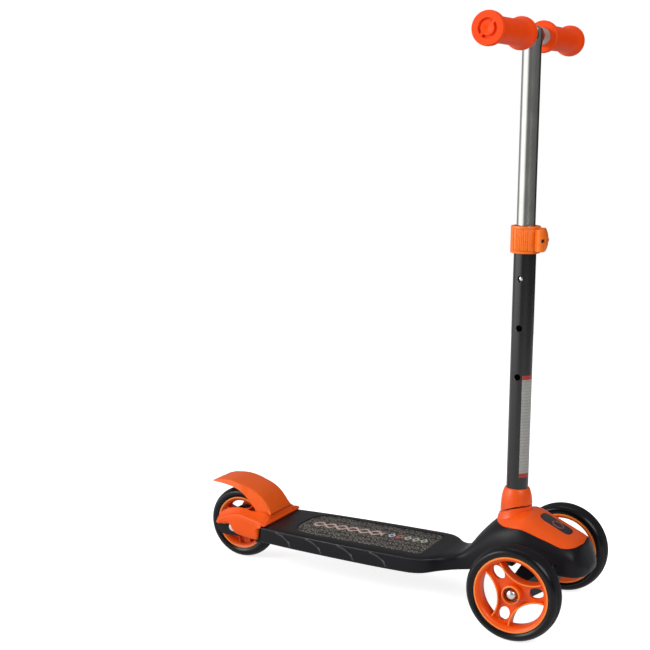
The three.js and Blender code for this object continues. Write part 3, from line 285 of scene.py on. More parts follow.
def eased(rows, x):
    """Row values at x, along smooth curves that never overshoot the rows."""
    places = [row[0] for row in rows]
    i = max(0, min(len(rows) - 2, sum(1 for p in places if p <= x) - 1))
    values = []
    for k in range(1, len(rows[0])):
        slopes = [(rows[j + 1][k] - rows[j][k]) / (places[j + 1] - places[j]) for j in range(len(rows) - 1)]

        def tangent(j):
            if j == 0 or j == len(rows) - 1:
                return slopes[min(j, len(slopes) - 1)]
            if slopes[j - 1] * slopes[j] <= 0:
                return 0
            return 2 * slopes[j - 1] * slopes[j] / (slopes[j - 1] + slopes[j])
        width = places[i + 1] - places[i]
        t = (x - places[i]) / width
        a, b = rows[i][k], rows[i + 1][k]
        values.append(a * (1 + 2 * t) * (1 - t) ** 2 + tangent(i) * width * t * (1 - t) ** 2
                      + b * t * t * (3 - 2 * t) + tangent(i + 1) * width * t * t * (t - 1))
    return values


quarter_steps = 16


def body_ring(x):
    half, top, bottom, widest, above, below = eased(form_rows, x)
    level = bottom + (top - bottom) * widest
    turns = [math.pi / 2 * i / quarter_steps for i in range(quarter_steps + 1)]

    def quarter(rise, power):
        return [(half * math.cos(a) ** (2 / power), rise * math.sin(a) ** (2 / power)) for a in turns]
    upper, lower = quarter(top - level, above), quarter(level - bottom, below)
    upper[-1], lower[-1] = (0, top - level), (0, level - bottom)
    return ([(x, y, level + z) for y, z in upper] + [(x, -y, level + z) for y, z in upper[-2::-1]]
            + [(x, -y, level - z) for y, z in lower[1:]] + [(x, y, level - z) for y, z in lower[-2:0:-1]])


def side_y(x, z):
    """Half width of the moulding at a height."""
    half, top, bottom, widest, above, below = eased(form_rows, x)
    level = bottom + (top - bottom) * widest
    rise, power = (top - level, above) if z > level else (level - bottom, below)
    return half * max(0, 1 - min(1, abs(z - level) / rise) ** power) ** (1 / power)


def make(name, points, faces, crease=32):
    """A closed piece from points in millimetres, shaded smooth up to the crease angle."""
    mesh = bpy.data.meshes.new(name)
    mesh.from_pydata([(x * MM, y * MM, z * MM) for x, y, z in points], [], faces)
    work = bmesh.new()
    work.from_mesh(mesh)
    bmesh.ops.recalc_face_normals(work, faces=work.faces)
    work.to_mesh(mesh)
    work.free()
    obj = stand(name, mesh)
    shade(obj, crease)
    return obj


def shade(obj, crease=32):
    obj.data.shade_smooth()
    obj.data.set_sharp_from_angle(angle=math.radians(crease))


def skin(name, rings, crease=32):
    count = len(rings[0])
    last = (len(rings) - 1) * count
    faces = [(start + i, start + (i + 1) % count, start + count + (i + 1) % count, start + count + i)
             for start in range(0, last, count) for i in range(count)]
    faces += [tuple(range(count)), tuple(range(last, last + count))]
    return make(name, [point for ring in rings for point in ring], faces, crease)


def along_axis(axis, x, y, z):
    """A point of a form made along the z axis, once the form lies along the named one."""
    return (x, y, z) if axis == "z" else (x, z, y)


def slab(name, outline, low, high, axis="z", crease=32):
    """An outline in the plane square to an axis, made solid between two places on it."""
    return skin(name, [[along_axis(axis, a, b, c) for a, b in outline] for c in (low, high)], crease)


def turned(name, profile, place=(0, 0, 0), axis="y", steps=96, crease=32):
    """A closed profile of (radius, place) points, or one that ends on the axis, turned round it."""
    points, faces, index = [], [], []
    for radius, along in profile:
        if radius == 0:
            index.append([len(points)] * steps)
            points.append((0, 0, along))
            continue
        index.append([len(points) + i for i in range(steps)])
        points += [(radius * math.cos(math.tau * i / steps), radius * math.sin(math.tau * i / steps), along)
                   for i in range(steps)]
    closed = profile[0][0] > 0
    for k in range(len(profile) - (0 if closed else 1)):
        here, there = index[k], index[(k + 1) % len(profile)]
        for i in range(steps):
            j = (i + 1) % steps
            faces.append(tuple(dict.fromkeys([here[i], here[j], there[j], there[i]])))
    moved = [tuple(a + b for a, b in zip(along_axis(axis, *p), place)) for p in points]
    return make(name, moved, [f for f in faces if len(f) > 2], crease)


def rod(name, radius, low, high, place=(0, 0, 0), axis="y", steps=64):
    return turned(name, [(0, low), (radius, low), (radius, high), (0, high)], place, axis, steps)


def settle(obj):
    """Makes a piece's modifiers part of its mesh."""
    graph = bpy.context.evaluated_depsgraph_get()
    mesh = bpy.data.meshes.new_from_object(obj.evaluated_get(graph))
    old, obj.data = obj.data, mesh
    obj.modifiers.clear()
    bpy.data.meshes.remove(old)


def mirrored(obj):
    """Turns a piece made for the left side into one for the right."""
    obj.data.transform(Matrix.Scale(-1, 4, (0, 1, 0)))
    obj.data.flip_normals()
    return obj


def combine(obj, tools, operation="DIFFERENCE", crease=32):
    for tool in tools:
        change = obj.modifiers.new("change", "BOOLEAN")
        change.operation, change.object, change.solver = operation, tool, "MANIFOLD"
        settle(obj)
        bpy.data.objects.remove(tool)
    shade(obj, crease)
    return obj


def soften(obj, width, steps=2, angle=40, crease=32):
    """Rounds the sharp edges of a piece."""
    change = obj.modifiers.new("round", "BEVEL")
    change.width, change.segments, change.limit_method = width * MM, steps, "ANGLE"
    change.angle_limit, change.use_clamp_overlap = math.radians(angle), True
    settle(obj)
    shade(obj, crease)
    return obj


def box(name, x0, x1, y0, y1, z0, z1):
    return slab(name, [(x0, y0), (x1, y0), (x1, y1), (x0, y1)], z0, z1)


def circle(radius, first, last, steps, x=0, y=0):
    """Points on an arc between two angles in degrees."""
    angles = [math.radians(first + (last - first) * i / steps) for i in range(steps + 1)]
    return [(x + radius * math.cos(a), y + radius * math.sin(a)) for a in angles]


def rounded(corners, steps=10):
    """An outline from corners of (x, y, radius)."""
    points = []
    for i, (x, y, radius) in enumerate(corners):
        here = Vector((x, y))
        back = (Vector(corners[i - 1][:2]) - here).normalized()
        on = (Vector(corners[(i + 1) % len(corners)][:2]) - here).normalized()
        if not radius:
            points.append((x, y))
            continue
        half = back.angle(on) / 2
        reach = radius / math.tan(half)
        for s in range(steps + 1):
            t = s / steps
            p = here + back * reach * (1 - t) ** 2 + on * reach * t ** 2
            points.append((p.x, p.y))
    return points


def body_form(name):
    """The moulding's outer form."""
    stations = []
    for (x0, *_), (x1, *_) in zip(form_rows, form_rows[1:]):
        parts = max(2, round((x1 - x0) / 4))
        stations += [x0 + (x1 - x0) * i / parts for i in range(parts)]
    return skin(name, [body_ring(x) for x in stations + [form_rows[-1][0]]])


tilt = math.radians(25)
cover_top_at_axle, cover_edge_drop, cover_rear_floor = 132, 16, 113
cover_rear_x, cover_front_x, cover_half = column_x - 23, front_x + 56, 38
cover_rows = [(0, 0), (0.015, 0.3), (0.06, 0.6), (0.14, 0.84), (0.24, 0.97), (0.38, 1.04), (0.55, 1.04),
              (0.7, 1.01), (0.83, 0.98), (0.91, 0.88), (0.965, 0.68), (0.99, 0.38), (1, 0)]


def through(points, closed=False, parts=6):
    """A smooth line through points."""
    count, smooth = len(points), []
    spans = count if closed else count - 1
    for i in range(spans):
        def at(j):
            return Vector(points[j % count] if closed else points[max(0, min(count - 1, j))])
        p0, p1, p2, p3 = at(i - 1), at(i), at(i + 1), at(i + 2)
        for k in range(parts):
            t = k / parts
            smooth.append(tuple(0.5 * ((2 * p1) + (p2 - p0) * t + (2 * p0 - 5 * p1 + 4 * p2 - p3) * t * t
                                       + (3 * p1 - p0 - 3 * p2 + p3) * t ** 3)))
    if not closed:
        smooth.append(tuple(points[-1]))
    return smooth


def cover_outline(grow):
    length = cover_front_x - cover_rear_x
    half = [(cover_rear_x - grow + (length + 2 * grow) * s, (cover_half + grow) * w) for s, w in cover_rows]
    return through(half + [(x, -y) for x, y in half[-2:0:-1]], closed=True)


def cover_space(name, grow):
    """The space that the front cover takes, down to its sloping floor."""
    rear, front = cover_rear_x - 6, cover_front_x + 6
    edge = cover_top_at_axle - cover_edge_drop
    flat_to = front_x + (edge - cover_rear_floor) / math.tan(tilt)
    side = [(rear, cover_rear_floor - grow), (flat_to, cover_rear_floor - grow),
            (front, edge - (front - front_x) * math.tan(tilt) - grow), (front, 190), (rear, 190)]
    return combine(slab(name, cover_outline(grow), 60, 180), [slab("wedge", side, -70, 70, "y")], "INTERSECT")


def lay(obj, place, turn):
    """Turns a piece about the y axis, then moves it to its place."""
    obj.data.transform(Matrix.Translation(Vector(place) * MM) @ Matrix.Rotation(turn, 4, "Y"))
    return obj


def leaning(name, radius, low, high):
    """A rod on the leaning steering axis, from the axle upwards."""
    return lay(rod(name, radius, low, high, axis="z"), (front_x + 14, 0, 62), tilt)


def on_column(name, radius, low, high, steps=64):
    return rod(name, radius, low, high, (column_x, 0, 0), "z", steps)


pad_rear_x, pad_length, pad_half = deck_rear_x + 43, 198, 43
pad_rear_corner, pad_front_corner, pad_floor = 34, 12, 63.8


def pad_outline(grow):
    rear, front, side = pad_rear_x - grow, pad_rear_x + pad_length + grow, pad_half + grow
    return rounded([(rear, -side, pad_rear_corner), (front, -side, pad_front_corner),
                    (front, side, pad_front_corner), (rear, side, pad_rear_corner)])


fork_in, fork_out, fork_end, fork_top, fork_tail = 18.5, 29, 15, 62, 15
foot_out, foot_reach = 43, 16
fork_side = ([(rear_x - fork_tail - fork_end, rear_radius)]
             + circle(fork_end, 180, 270, 10, rear_x - fork_tail, rear_radius)[1:]
             + [(deck_rear_x + foot_reach, deck_bottom), (deck_rear_x + foot_reach, fork_top),
                (rear_x + fork_end, fork_top)]
             + circle(fork_end, 60, 180, 14, rear_x - fork_tail, rear_radius)[:-1])
deck = body_form("deck_moulding")
bay_count, bay_rib, deck_wall, spine_half, bay_top = 5, 4, 5, 2, 61
bay_end = deck_rear_x + (neck_x - deck_rear_x) * 0.9
bay_start = deck_rear_x + deck_wall
bay_pitch = (bay_end - bay_start + bay_rib) / bay_count


def bay_half(x):
    return (0.83 + 0.17 * min(1, (x - deck_rear_x) / 180)) * deck_half - deck_wall


cuts = [cover_space("cover_place", 0.5), slab("pad_place", pad_outline(0.5), pad_floor, 80)]
for bay in range(bay_count):
    x0, x1 = bay_start + bay_pitch * bay, bay_start + bay_pitch * (bay + 1) - bay_rib
    for sign in (-1, 1):
        cuts.append(slab("bay", [(x0, sign * spine_half), (x1, sign * spine_half), (x1, sign * bay_half(x1)),
                                 (x0, sign * bay_half(x0))], 30, bay_top))
neck_side = [(0.04, -0.1), (0.04, 0.18), (0.16, 0.26), (0.22, 0.42), (0.29, 0.62), (0.33, 0.64), (0.33, -0.1)]
cuts += [slab("neck_pocket", [(neck_x + (nose_x - neck_x) * s, deck_bottom + house_height * u)
                              for s, u in neck_side], -21, 21, "y"),
         box("axle_room", front_x - 24, front_x + 36, -70, 70, 0, 84),
         box("nose_room", front_x + 40, front_x + 60, -20, 20, 0, 84),
         box("upper_room", front_x - 8, front_x + 50, -28, 28, 88, 170)]
combine(deck, cuts)
fork = []
for sign in (1, -1):
    low, high = sorted((sign * fork_in, sign * fork_out))
    fork.append(soften(slab("fork_arm", fork_side, low, high, "y"), 1.2))
    low, high = sorted((sign * fork_in, sign * foot_out))
    fork.append(box("fork_foot", deck_rear_x - foot_reach, deck_rear_x + foot_reach, low, high,
                    deck_bottom, fork_top))
combine(deck, fork + [on_column("socket", 19.5, 69.5, 111), leaning("seat", 14, 18.6, 30.6)], "UNION")
combine(deck, [on_column("column_bore", column_bore, 75, 180), on_column("screw_head_room", 4.1, 0, 70),
               leaning("rubber_room", 13.5, -20, 18.6), leaning("nut_room", 10.5, 26.6, 98),
               leaning("kingpin_bore", 5.3, 0, 98),
               rod("axle_bore", 4.3, -60, 60, (rear_x, 0, rear_radius))], crease=28)
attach(deck, "frame")
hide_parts("deck_body")


def moulded(name, base, roughness, grain=0.00012, gloss=0.35, shift=0.03):
    """Moulded plastic: even colour with a faint cloud in it and a fine spark-eroded grain."""
    finish = Finish(name)
    cloud, fine = finish.noise(26, 3), finish.noise(1400, 2)
    deep = tuple(c * (1 - 3 * shift) for c in base[:3]) + (1,)
    light = tuple(min(1, c * (1 + 3 * shift)) for c in base[:3]) + (1,)
    return finish.surface(finish.mix(cloud, deep, light), cloud * 0.12 + (roughness - 0.06),
                          fine, 0.35, grain, gloss)


def dress(obj, material):
    obj.data.materials.clear()
    obj.data.materials.append(material)


black_plastic = moulded("black_polypropylene", colour(20, 19, 23), 0.38, gloss=0.17)
# A lighter, glossier copy of the black plastic for the scales and edge lines; its lighter colour is a painted
# highlight.
black_highlight_edge = moulded("black_polypropylene_painted_highlight", colour(26, 25, 29), 0.24, gloss=0.55)
dress(deck, black_plastic)

# Side scales. Raised crescents along both sides of the deck, part of the same moulding, each one
# sweeping from the shoulder down to the lower edge.

scale_starts = [-368, -318, -268, -219]
scale_length, scale_low, scale_high, scale_proud = 28, 44.5, 62.5, 1.35
scale_steps, bead_steps = 24, 60


def scale_form(name, start, sign):
    """A shallow wedge that stands out along a falling curve and runs back into the side behind it."""
    rings = []
    tall = scale_high - scale_low
    for i in range(scale_steps + 1):
        a = (0.04 + 0.9 * i / scale_steps) * math.pi / 2
        x, z = start + scale_length * math.sin(a), scale_low + tall * math.cos(a)
        nx, nz = math.sin(a) / scale_length, math.cos(a) / tall
        size = math.hypot(nx, nz)
        nx, nz = nx / size, nz / size
        proud = scale_proud * math.sin(math.pi * i / scale_steps) ** 0.6
        ring = []
        for off, out in ((0.8, -0.5), (0.35, proud * 0.7), (0, proud), (-0.5, proud * 0.85),
                         (-1.3, proud * 0.3), (-3, -0.1), (-3, -1.2), (0.8, -1.2)):
            px, pz = front_x + x + nx * off, z + nz * off
            ring.append((px, sign * (side_y(px, max(42.5, min(63.5, pz))) + out), pz))
        rings.append(ring)
    return skin(name, rings, 42)


def edge_bead(name, sign, rise, radius, first, last):
    """A fine raised line along the deck's side."""
    rings = []
    for i in range(bead_steps + 1):
        x = first + (last - first) * i / bead_steps
        z = eased(form_rows, x)[1] - rise
        size = radius * min(1, 0.1 + 3 * math.sin(math.pi * i / bead_steps))
        rings.append([(x, sign * (side_y(x, z) - 0.2 + size * math.cos(a)), z + size * math.sin(a))
                      for a in [math.tau * k / 8 for k in range(8)]])
    return skin(name, rings, 60)


for sign, side in ((-1, "right"), (1, "left")):
    pieces = [scale_form("side_scale_%s_%d" % (side, number), start, sign)
              for number, start in enumerate(scale_starts)]
    pieces.append(edge_bead("deck_edge_line_" + side, sign, 3.0, 0.75, deck_rear_x + 60, neck_x + 12))
    # The scales and edge lines take the lighter black, a painted highlight along their crests.
    for piece in pieces:
        dress(piece, black_highlight_edge)
        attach(piece, "frame")

# Steering truck. A moulded black beam with a leaning boss hangs on a kingpin between two rubbers;
# one steel through axle carries both front wheels on spacers. The CAD pieces stay as they are.


def metal(name, base, roughness, scratch=0.25, metallic=1.0):
    """Bare or plated metal with fine brushing and a few duller clouds."""
    finish = Finish(name)
    brushed, cloud = finish.noise(900, 3), finish.noise(35, 2)
    dull = tuple(c * 0.86 for c in base[:3]) + (1,)
    return finish.surface(finish.mix(cloud, dull, base), brushed * 0.08 + cloud * 0.08 + (roughness - 0.08),
                          brushed, scratch, 0.00002, metallic=metallic)


def repaint(material, *nodes):
    """Gives CAD solids that stay in view a finish of their own."""
    for obj in [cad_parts[node] for node in nodes]:
        if not obj.material_slots:
            obj.data.materials.append(material)
        for place in obj.material_slots:
            place.material = material


zinc = metal("bright_zinc", colour(176, 178, 182), 0.3)
chrome = metal("polished_nickel", colour(222, 222, 218), 0.3, 0.06)
# A dark steel that stands in for shade: painted shade on the nuts' flats, the clamp's eye bolt and the rear
# cover screws.
shade_dark_steel = metal("dark_steel_painted_shade", colour(44, 43, 45), 0.42, metallic=0.7)
bush_rubber = moulded("black_rubber", colour(30, 30, 31), 0.8, 0.0003, 0.2)
repaint(black_plastic, "axle_beam")
repaint(zinc, "kingpin", "kingpin_nut", "kingpin_washer", "front_axle", "front_spacer_left",
        "front_spacer_right", "rear_axle", "rear_spacer_left", "rear_spacer_right")
repaint(bush_rubber, "upper_rubber", "lower_rubber")

# Wheels. Three orange injection moulded rims with cast black polyurethane tyres, each on two ball
# bearings. A rim has three broad spokes with ribs along their edges, pierced in the front wheels.

orange_plastic = moulded("orange_polypropylene", colour(235, 84, 8), 0.34, 0.00006, 0.34, shift=0.02)
# A lighter orange for the rims' lip crests, rib edges and hub rims: a painted highlight where these edges
# catch the light.
orange_highlight_edge = moulded("orange_polypropylene_painted_highlight", colour(250, 136, 54), 0.3, 0.00003, 0.4, shift=0.02)


def cast_tyre():
    """Cast polyurethane, glossier on its sides than on its tread."""
    finish = Finish("cast_polyurethane")
    cloud, fine = finish.noise(55, 4), finish.noise(700, 3)
    tread = 1 - finish.ease(finish.axis("Y", finish.place("Normal")).size(), 0.25, 0.5)
    return finish.surface(finish.mix(cloud, colour(9, 8, 12), colour(14, 13, 18)),
                          cloud * 0.1 + tread * 0.45 + 0.21, fine, 0.2, 0.0001, 0.24)


tyre_finish = cast_tyre()
tyre_rows = [(0.04, 0.88), (0.3, 1), (0.6, 0.96), (0.88, 0.68), (1, 0.2)]
hub_radius, hub_half = 12, 12
bearing_radius, bearing_width, axle_radius = 9.5, 6, 4
lip_width, rim_wall, seat_depth = 1.6, 2.6, 4.2
rib_half, web_half, rib_thick = 8, 2.5, 1.9
loose = 0.3


def both_ends(half, middle=0):
    """Half a profile, from an end of the piece to its middle, and the other half like it."""
    return half + [(r, 2 * middle - y) for r, y in half[::-1]]


def tyre_form(name, radius, half, rim_radius):
    seat, lip = rim_radius - seat_depth + loose, rim_radius + loose
    bead = half - 2 * lip_width - loose
    side = [(lip + (radius - lip) * up, half * across) for up, across in tyre_rows]
    crown = [(min(r, radius), y) for r, y in through(both_ends(side), parts=8)]
    return turned(name, both_ends([(lip, -bead), (seat, -bead)]) + crown, steps=160, crease=45)


def rim_form(name, half, rim_radius, spoke_turn, first_seat, second_seat):
    half -= lip_width
    seat = rim_radius - seat_depth
    inner = seat - rim_wall
    barrel = turned(name, both_ends([
        (inner, half - 9), (inner + 0.3, half - 6), (inner + 0.9, half - 3.2), (inner + 1.9, half - 1.8),
        (rim_radius - 2.9, half - 0.5), (rim_radius - 2.1, half - 0.1), (rim_radius - 1.5, half),
        (rim_radius - 0.6, half), (rim_radius - 0.15, half - 0.2), (rim_radius, half - 0.7),
        (rim_radius, half - lip_width), (seat, half - lip_width)]), steps=160)
    span = inner - hub_radius
    near = hub_radius + span * 0.24
    centre = (inner ** 2 - near ** 2) / (2 * (inner * math.cos(math.radians(42)) - near))
    bow = centre - near
    edge = bow + rib_thick
    rib_profile = both_ends([
        (bow - 0.1, 0.6 - rib_half), (bow + 0.5, -rib_half), (edge - 0.5, -rib_half), (edge, 0.6 - rib_half),
        (edge + 0.3, -web_half - 1.2), (edge + 1.2, 0.1 - web_half)])
    spider = turned("web", both_ends([(hub_radius - 2, -web_half), (inner + 1, -web_half)]), steps=144)
    holes = []
    for i in range(3):
        angle = math.radians(spoke_turn + 360 * (i + 0.5) / 3)
        place = (math.cos(angle) * centre, 0, math.sin(angle) * centre)
        rib = turned("rib", rib_profile, place, steps=144)
        combine(rib, [rod("disc", inner + 0.7, -12, 12, steps=160)], "INTERSECT")
        combine(spider, [rib], "UNION")
        holes.append(rod("opening", bow, -20, 20, place, steps=144))
        if rim_radius == front_rim_radius:
            turn = math.radians(spoke_turn + 120 * i)
            oval = [(hub_radius + span * (0.616 + 0.325 * math.cos(math.tau * k / 40)),
                     span * 0.24 * math.sin(math.tau * k / 40)) for k in range(40)]
            across, up = math.cos(turn), math.sin(turn)
            oval = [(a * across - b * up, a * up + b * across) for a, b in oval]
            holes.append(slab("oval", oval, -20, 20, "y"))
    combine(spider, holes)
    hub = turned("hub", both_ends([(0, hub_half), (bearing_radius, hub_half), (hub_radius - 1.5, hub_half),
                                   (hub_radius - 0.9, hub_half - 0.2), (hub_radius - 0.3, hub_half - 0.7),
                                   (hub_radius, hub_half - 1.6)]))
    combine(barrel, [spider, hub], "UNION")
    return combine(barrel, [rod("bore", bearing_radius + loose, -hub_half - 4, first_seat),
                            rod("bore", bearing_radius + loose, second_seat, hub_half + 4),
                            rod("bore", bearing_radius - 2, -hub_half, hub_half)], crease=28)


def bearing_form(name, low):
    inner = axle_radius + loose
    return turned(name, both_ends([
        (inner, low + 0.3), (inner + 0.3, low), (inner + 1.5, low), (inner + 1.6, low + 0.4),
        (bearing_radius - 1.5, low + 0.4), (bearing_radius - 1.4, low), (bearing_radius - 0.3, low),
        (bearing_radius, low + 0.3)], low + bearing_width / 2), crease=30)


def second_finish(obj, material, where):
    """Gives the faces whose middle passes a test a finish of their own; lengths in millimetres."""
    obj.data.materials.append(material)
    for face in obj.data.polygons:
        middle = face.center / MM
        if where(math.hypot(middle.x, middle.z), abs(middle.y)):
            face.material_index = len(obj.data.materials) - 1


def place_at(obj, x, y, z):
    obj.data.transform(Matrix.Translation(Vector((x, y, z)) * MM))
    return obj


track_half, front_rim_radius = 98, 48
front_sizes = (front_radius, 13.5, front_rim_radius, 9.5)
rear_sizes = (rear_radius, 12.5, 38, 40)
for node, body, x, y, (radius, half, rim_radius, spoke_turn), (low, high) in [
    ("front_wheel_left", "front_left_wheel", front_x, track_half, front_sizes, (-12, -2.5)),
    ("front_wheel_right", "front_right_wheel", front_x, -track_half, front_sizes, (-3.5, 6)),
    ("rear_wheel", "rear_road_wheel", rear_x, 0, rear_sizes, (-12, 6)),
]:
    tyre = place_at(tyre_form(node + "_cast_tyre", radius, half, rim_radius), x, y, radius)
    rim = rim_form(node + "_spoked_rim", half, rim_radius, spoke_turn,
                   low + bearing_width + loose, high - loose)
    dress(rim, orange_plastic)
    # The lip crests, the front rims' rib edges and the hub rims take the lighter orange, a painted highlight.
    crest = half - lip_width - 0.7
    ribs_from = rib_half - 0.75 if x == front_x else half
    second_finish(rim, orange_highlight_edge, lambda r, y: (y > crest and r > rim_radius - 2.3)
                  or (ribs_from < y < rib_half + 0.1 and r < rim_radius - 7)
                  or (y > hub_half - 1.2 and hub_radius - 1.7 < r < hub_radius + 0.1))
    place_at(rim, x, y, radius)
    parts = [(tyre, "_tyre", tyre_finish, "tyre_polyurethane"), (rim, "_rim", None, "orange_plastic")]
    for side, at in (("_bearing_right", low), ("_bearing_left", high)):
        race = bearing_form(node + side + "_race", at)
        dress(race, zinc)
        second_finish(race, bush_rubber, lambda r, y: axle_radius + 1.8 < r < bearing_radius - 1.3)
        parts.append((place_at(race, x, y, radius), side, None, "zinc_steel"))
    for obj, ending, material, slot in parts:
        if material:
            dress(obj, material)
        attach(obj, body)
        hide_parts(node + ending)

# Domed axle nuts. Chromed steel acorn nuts with a washer face, six flats and a ball end.


def acorn_nut(name, length, outward):
    """A nut made for the rider's left, with its washer face at the origin."""
    flats_end, ball_radius, corner_radius = length * 0.3, 7.2, 7.4
    nut = slab(name, circle(corner_radius, 0, 300, 5), 0, flats_end, "y")
    cap = turned("cap", [(0, -1), (6.5, -1), (7.3, flats_end - 0.9), (6.4, flats_end + 0.1),
                         (0, flats_end + 0.1)])
    combine(nut, [cap], "INTERSECT")
    dome = [(ball_radius * math.cos(a), flats_end - 0.3 + (length - flats_end + 0.3) * math.sin(a))
            for a in [math.pi / 2 * i / 16 for i in range(16)]]
    ball = turned("ball", [(0, 0.2), (ball_radius, 0.2)] + dome + [(0, length)])
    collar = turned("collar", [(0, 0), (7.9, 0), (8.2, 0.3), (8.2, 0.8), (7.8, 1.2), (0, 1.2)])
    combine(nut, [ball, collar], "UNION")
    combine(nut, [rod("thread", axle_radius + loose, -2, flats_end)], crease=35)
    dress(nut, chrome)
    # The flats and washer face take the dark steel, a painted shade ring round the chromed ball.
    second_finish(nut, shade_dark_steel, lambda r, y: y < flats_end + 0.2 or r > 7.15)
    return mirrored(nut) if outward < 0 else nut


for node, x, y, z, length, body in [
    ("front_axle_nut_left", front_x, track_half + 3.8, front_radius, 9, "steering_truck"),
    ("front_axle_nut_right", front_x, -track_half - 3.8, front_radius, 9, "steering_truck"),
    ("rear_axle_nut_left", rear_x, 29.3, rear_radius, 6.7, "frame"),
    ("rear_axle_nut_right", rear_x, -29.3, rear_radius, 6.7, "frame"),
]:
    nut = place_at(acorn_nut(node + "_acorn", length, y), x, y, z)
    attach(nut, body)
    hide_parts(node)

# Deck pad. A thin printed grip sheet let into the deck, with an embossed pattern of small curls and
# a pale ribbon motif along its middle.

pad_base, pad_thick = pad_floor + 0.3, 1
pad = soften(slab("deck_grip_sheet", pad_outline(0), pad_base, pad_base + pad_thick), 0.3)


def grip_sheet():
    """Grey sheet, embossed with curls and printed with a braid and a row of small diamonds."""
    finish = Finish("printed_grip_sheet")
    x, y = (finish.axis(letter, finish.place()) * 1000 for letter in "XY")
    bend = finish.noise(80, 1, output="Color")
    raised = (y + finish.axis("Y", bend) * 5) / 13.4
    row, across = raised.whole(), raised.part() - 0.5
    shifted = (x + finish.axis("X", bend) * 4) / 8.2 + row * 0.5
    column, along = shifted.whole(), shifted.part() - 0.5
    reach = (along * along + across * across).root()
    angle = across.turn_from(along) + row * 0.37 + column * 0.23
    curl = (reach - (angle.part() * 0.3 + 0.13)).size() < 0.07
    worn, patch = finish.noise(420, 3), finish.noise(30, 2)
    ground = finish.mix(worn, colour(40, 37, 37), colour(66, 62, 60))
    printed = finish.mix(curl * (patch * 0.6 + 0.4), ground, colour(142, 137, 128))
    middle = y - 3 - (x + 110) * 0.05
    wave = (x * (math.tau / 34)).sine() * 7.5
    strand = ((middle - wave).size() < 2.7).most((middle + wave).size() < 2.3)
    braid = strand * ((x + 66).size() < 53)
    cell = (x - 23) / 12 + 2.5
    stone = (cell.part() - 0.5).size() * 2.1 + (y - 9).size() / 9.0
    stones = ((stone < 1.0) - (stone < 0.42)) * ((x - 23).size() < 30)
    step = cell.whole()
    gem = finish.mix((step - 1).size() < 0.5, colour(190, 190, 200), colour(184, 98, 92))
    gem = finish.mix((step - 3).size() < 1.4, gem, colour(176, 182, 166))
    studded = finish.mix(stones * 0.9, printed, gem)
    tone = finish.mix(braid * (worn * 0.4 + 0.6), studded, colour(206, 180, 170))
    return finish.surface(tone, worn * 0.2 + 0.6, curl * 0.5 + worn * 0.8, 0.6, 0.0003, 0.25)


dress(pad, grip_sheet())
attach(pad, "frame")
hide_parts("deck_pad")

# Front cover. An orange moulded shell that continues the housing's top, flared up to the column and
# parted from the black moulding by a fine gap; a dark plate is let into its slope.

cone_radius, inset_drop = 20, 20
inset_x, inset_z = front_x + inset_drop, cover_top_at_axle - inset_drop * math.tan(tilt)
inset_half_long, inset_half_wide, inset_corner = 22, 12, 9.5
seam_line = [(100, 118), (150, 127.2), (163, 132), (172, 136.1), (181, 139.8), (190, 141.9), (200, 142.4),
             (230, 141)]


def seam_side(name, rise, far):
    """All that lies on one side of the curved seam between the cover and the cone."""
    line = [(x, z + rise) for x, z in through(seam_line, parts=4)]
    return slab(name, line + [(230, far), (100, far)], -70, 70, "y")


def inset_block(name, grow, low, high):
    a, b, r = inset_half_long + grow, inset_half_wide + grow, inset_corner
    plate = slab(name, rounded([(-a, -b, r), (a, -b, r), (a, b, r), (-a, b, r)], 14), low, high)
    return lay(plate, (inset_x, 0, inset_z), tilt)


def round_column(name, profile, steps=96):
    """A profile turned round the column's axis."""
    return turned(name, profile, (column_x, 0, 0), "z", steps)


cover = body_form("front_cover_shell")
flare_line = through([(cone_radius + 17, 110), (cone_radius + 8.5, 117), (cone_radius + 4, 124),
                      (cone_radius + 1.2, 131), (cone_radius, 138), (cone_radius, 150)], parts=5)
combine(cover, [round_column("flare", [(0, 110)] + flare_line + [(0, 150)])], "UNION")
combine(cover, [cover_space("cover_keep", 0)], "INTERSECT")
combine(cover, [seam_side("above_seam", -1.1, 210), on_column("column_hole", column_bore, 0, 180),
                inset_block("inset_room", 0.3, -1.5, 6)], crease=30)
dress(cover, orange_plastic)
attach(cover, "frame")
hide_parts("front_cover")

inset = soften(inset_block("cover_dark_plate", 0, -1.2, 0), 0.3)
dress(inset, moulded("smooth_dark_plate", colour(40, 36, 42), 0.34, 0.00003, 0.5))
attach(inset, "frame")
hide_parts("cover_inset")

ring_radius, ring_wire, ring_steps = 7.4, 0.75, 14
emblem = turned("cover_ring", circle(ring_wire, 0, 360 - 360 / ring_steps, ring_steps - 1, ring_radius),
                axis="z", crease=80)
lay(emblem, (inset_x + 2, 0, inset_z - 2 * math.tan(tilt) + 0.1), tilt)
dress(emblem, moulded("copper_print", colour(140, 84, 72), 0.4, 0.00003, 0.5))
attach(emblem, "frame")

cone_line = through([(20.7, 125), (20.6, 137), (20.2, 144), (19.6, 150), (18.6, 155.5), (17.2, 160.2),
                     (16, 162.9), (14.9, 164)], parts=5)
cone = round_column("neck_cone_sleeve", [(0, 125)] + cone_line + [(0, 164)])
combine(cone, [seam_side("below_seam", 1.3, 60), on_column("column_hole", 14.2, 0, 180)], crease=30)
dress(cone, orange_plastic)
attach(cone, "frame")
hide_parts("neck_cone")

# Lower column. A steel tube with a satin black powder coat, three height holes on the rider's right
# and a plain reflective strip near its foot; a black nylon bush guides the upper tube.

column_radius, column_inner, column_top = 14, 12.8, 498
hole_heights = (435, 372.5, 310)


def powder_coat():
    finish = Finish("satin_black_powder_coat")
    cloud, peel = finish.noise(30, 2), finish.noise(500, 2)
    return finish.surface(finish.mix(cloud, colour(11, 11, 13), colour(16, 16, 18)),
                          cloud * 0.08 + 0.2, peel, 0.25, 0.00006, 0.55)


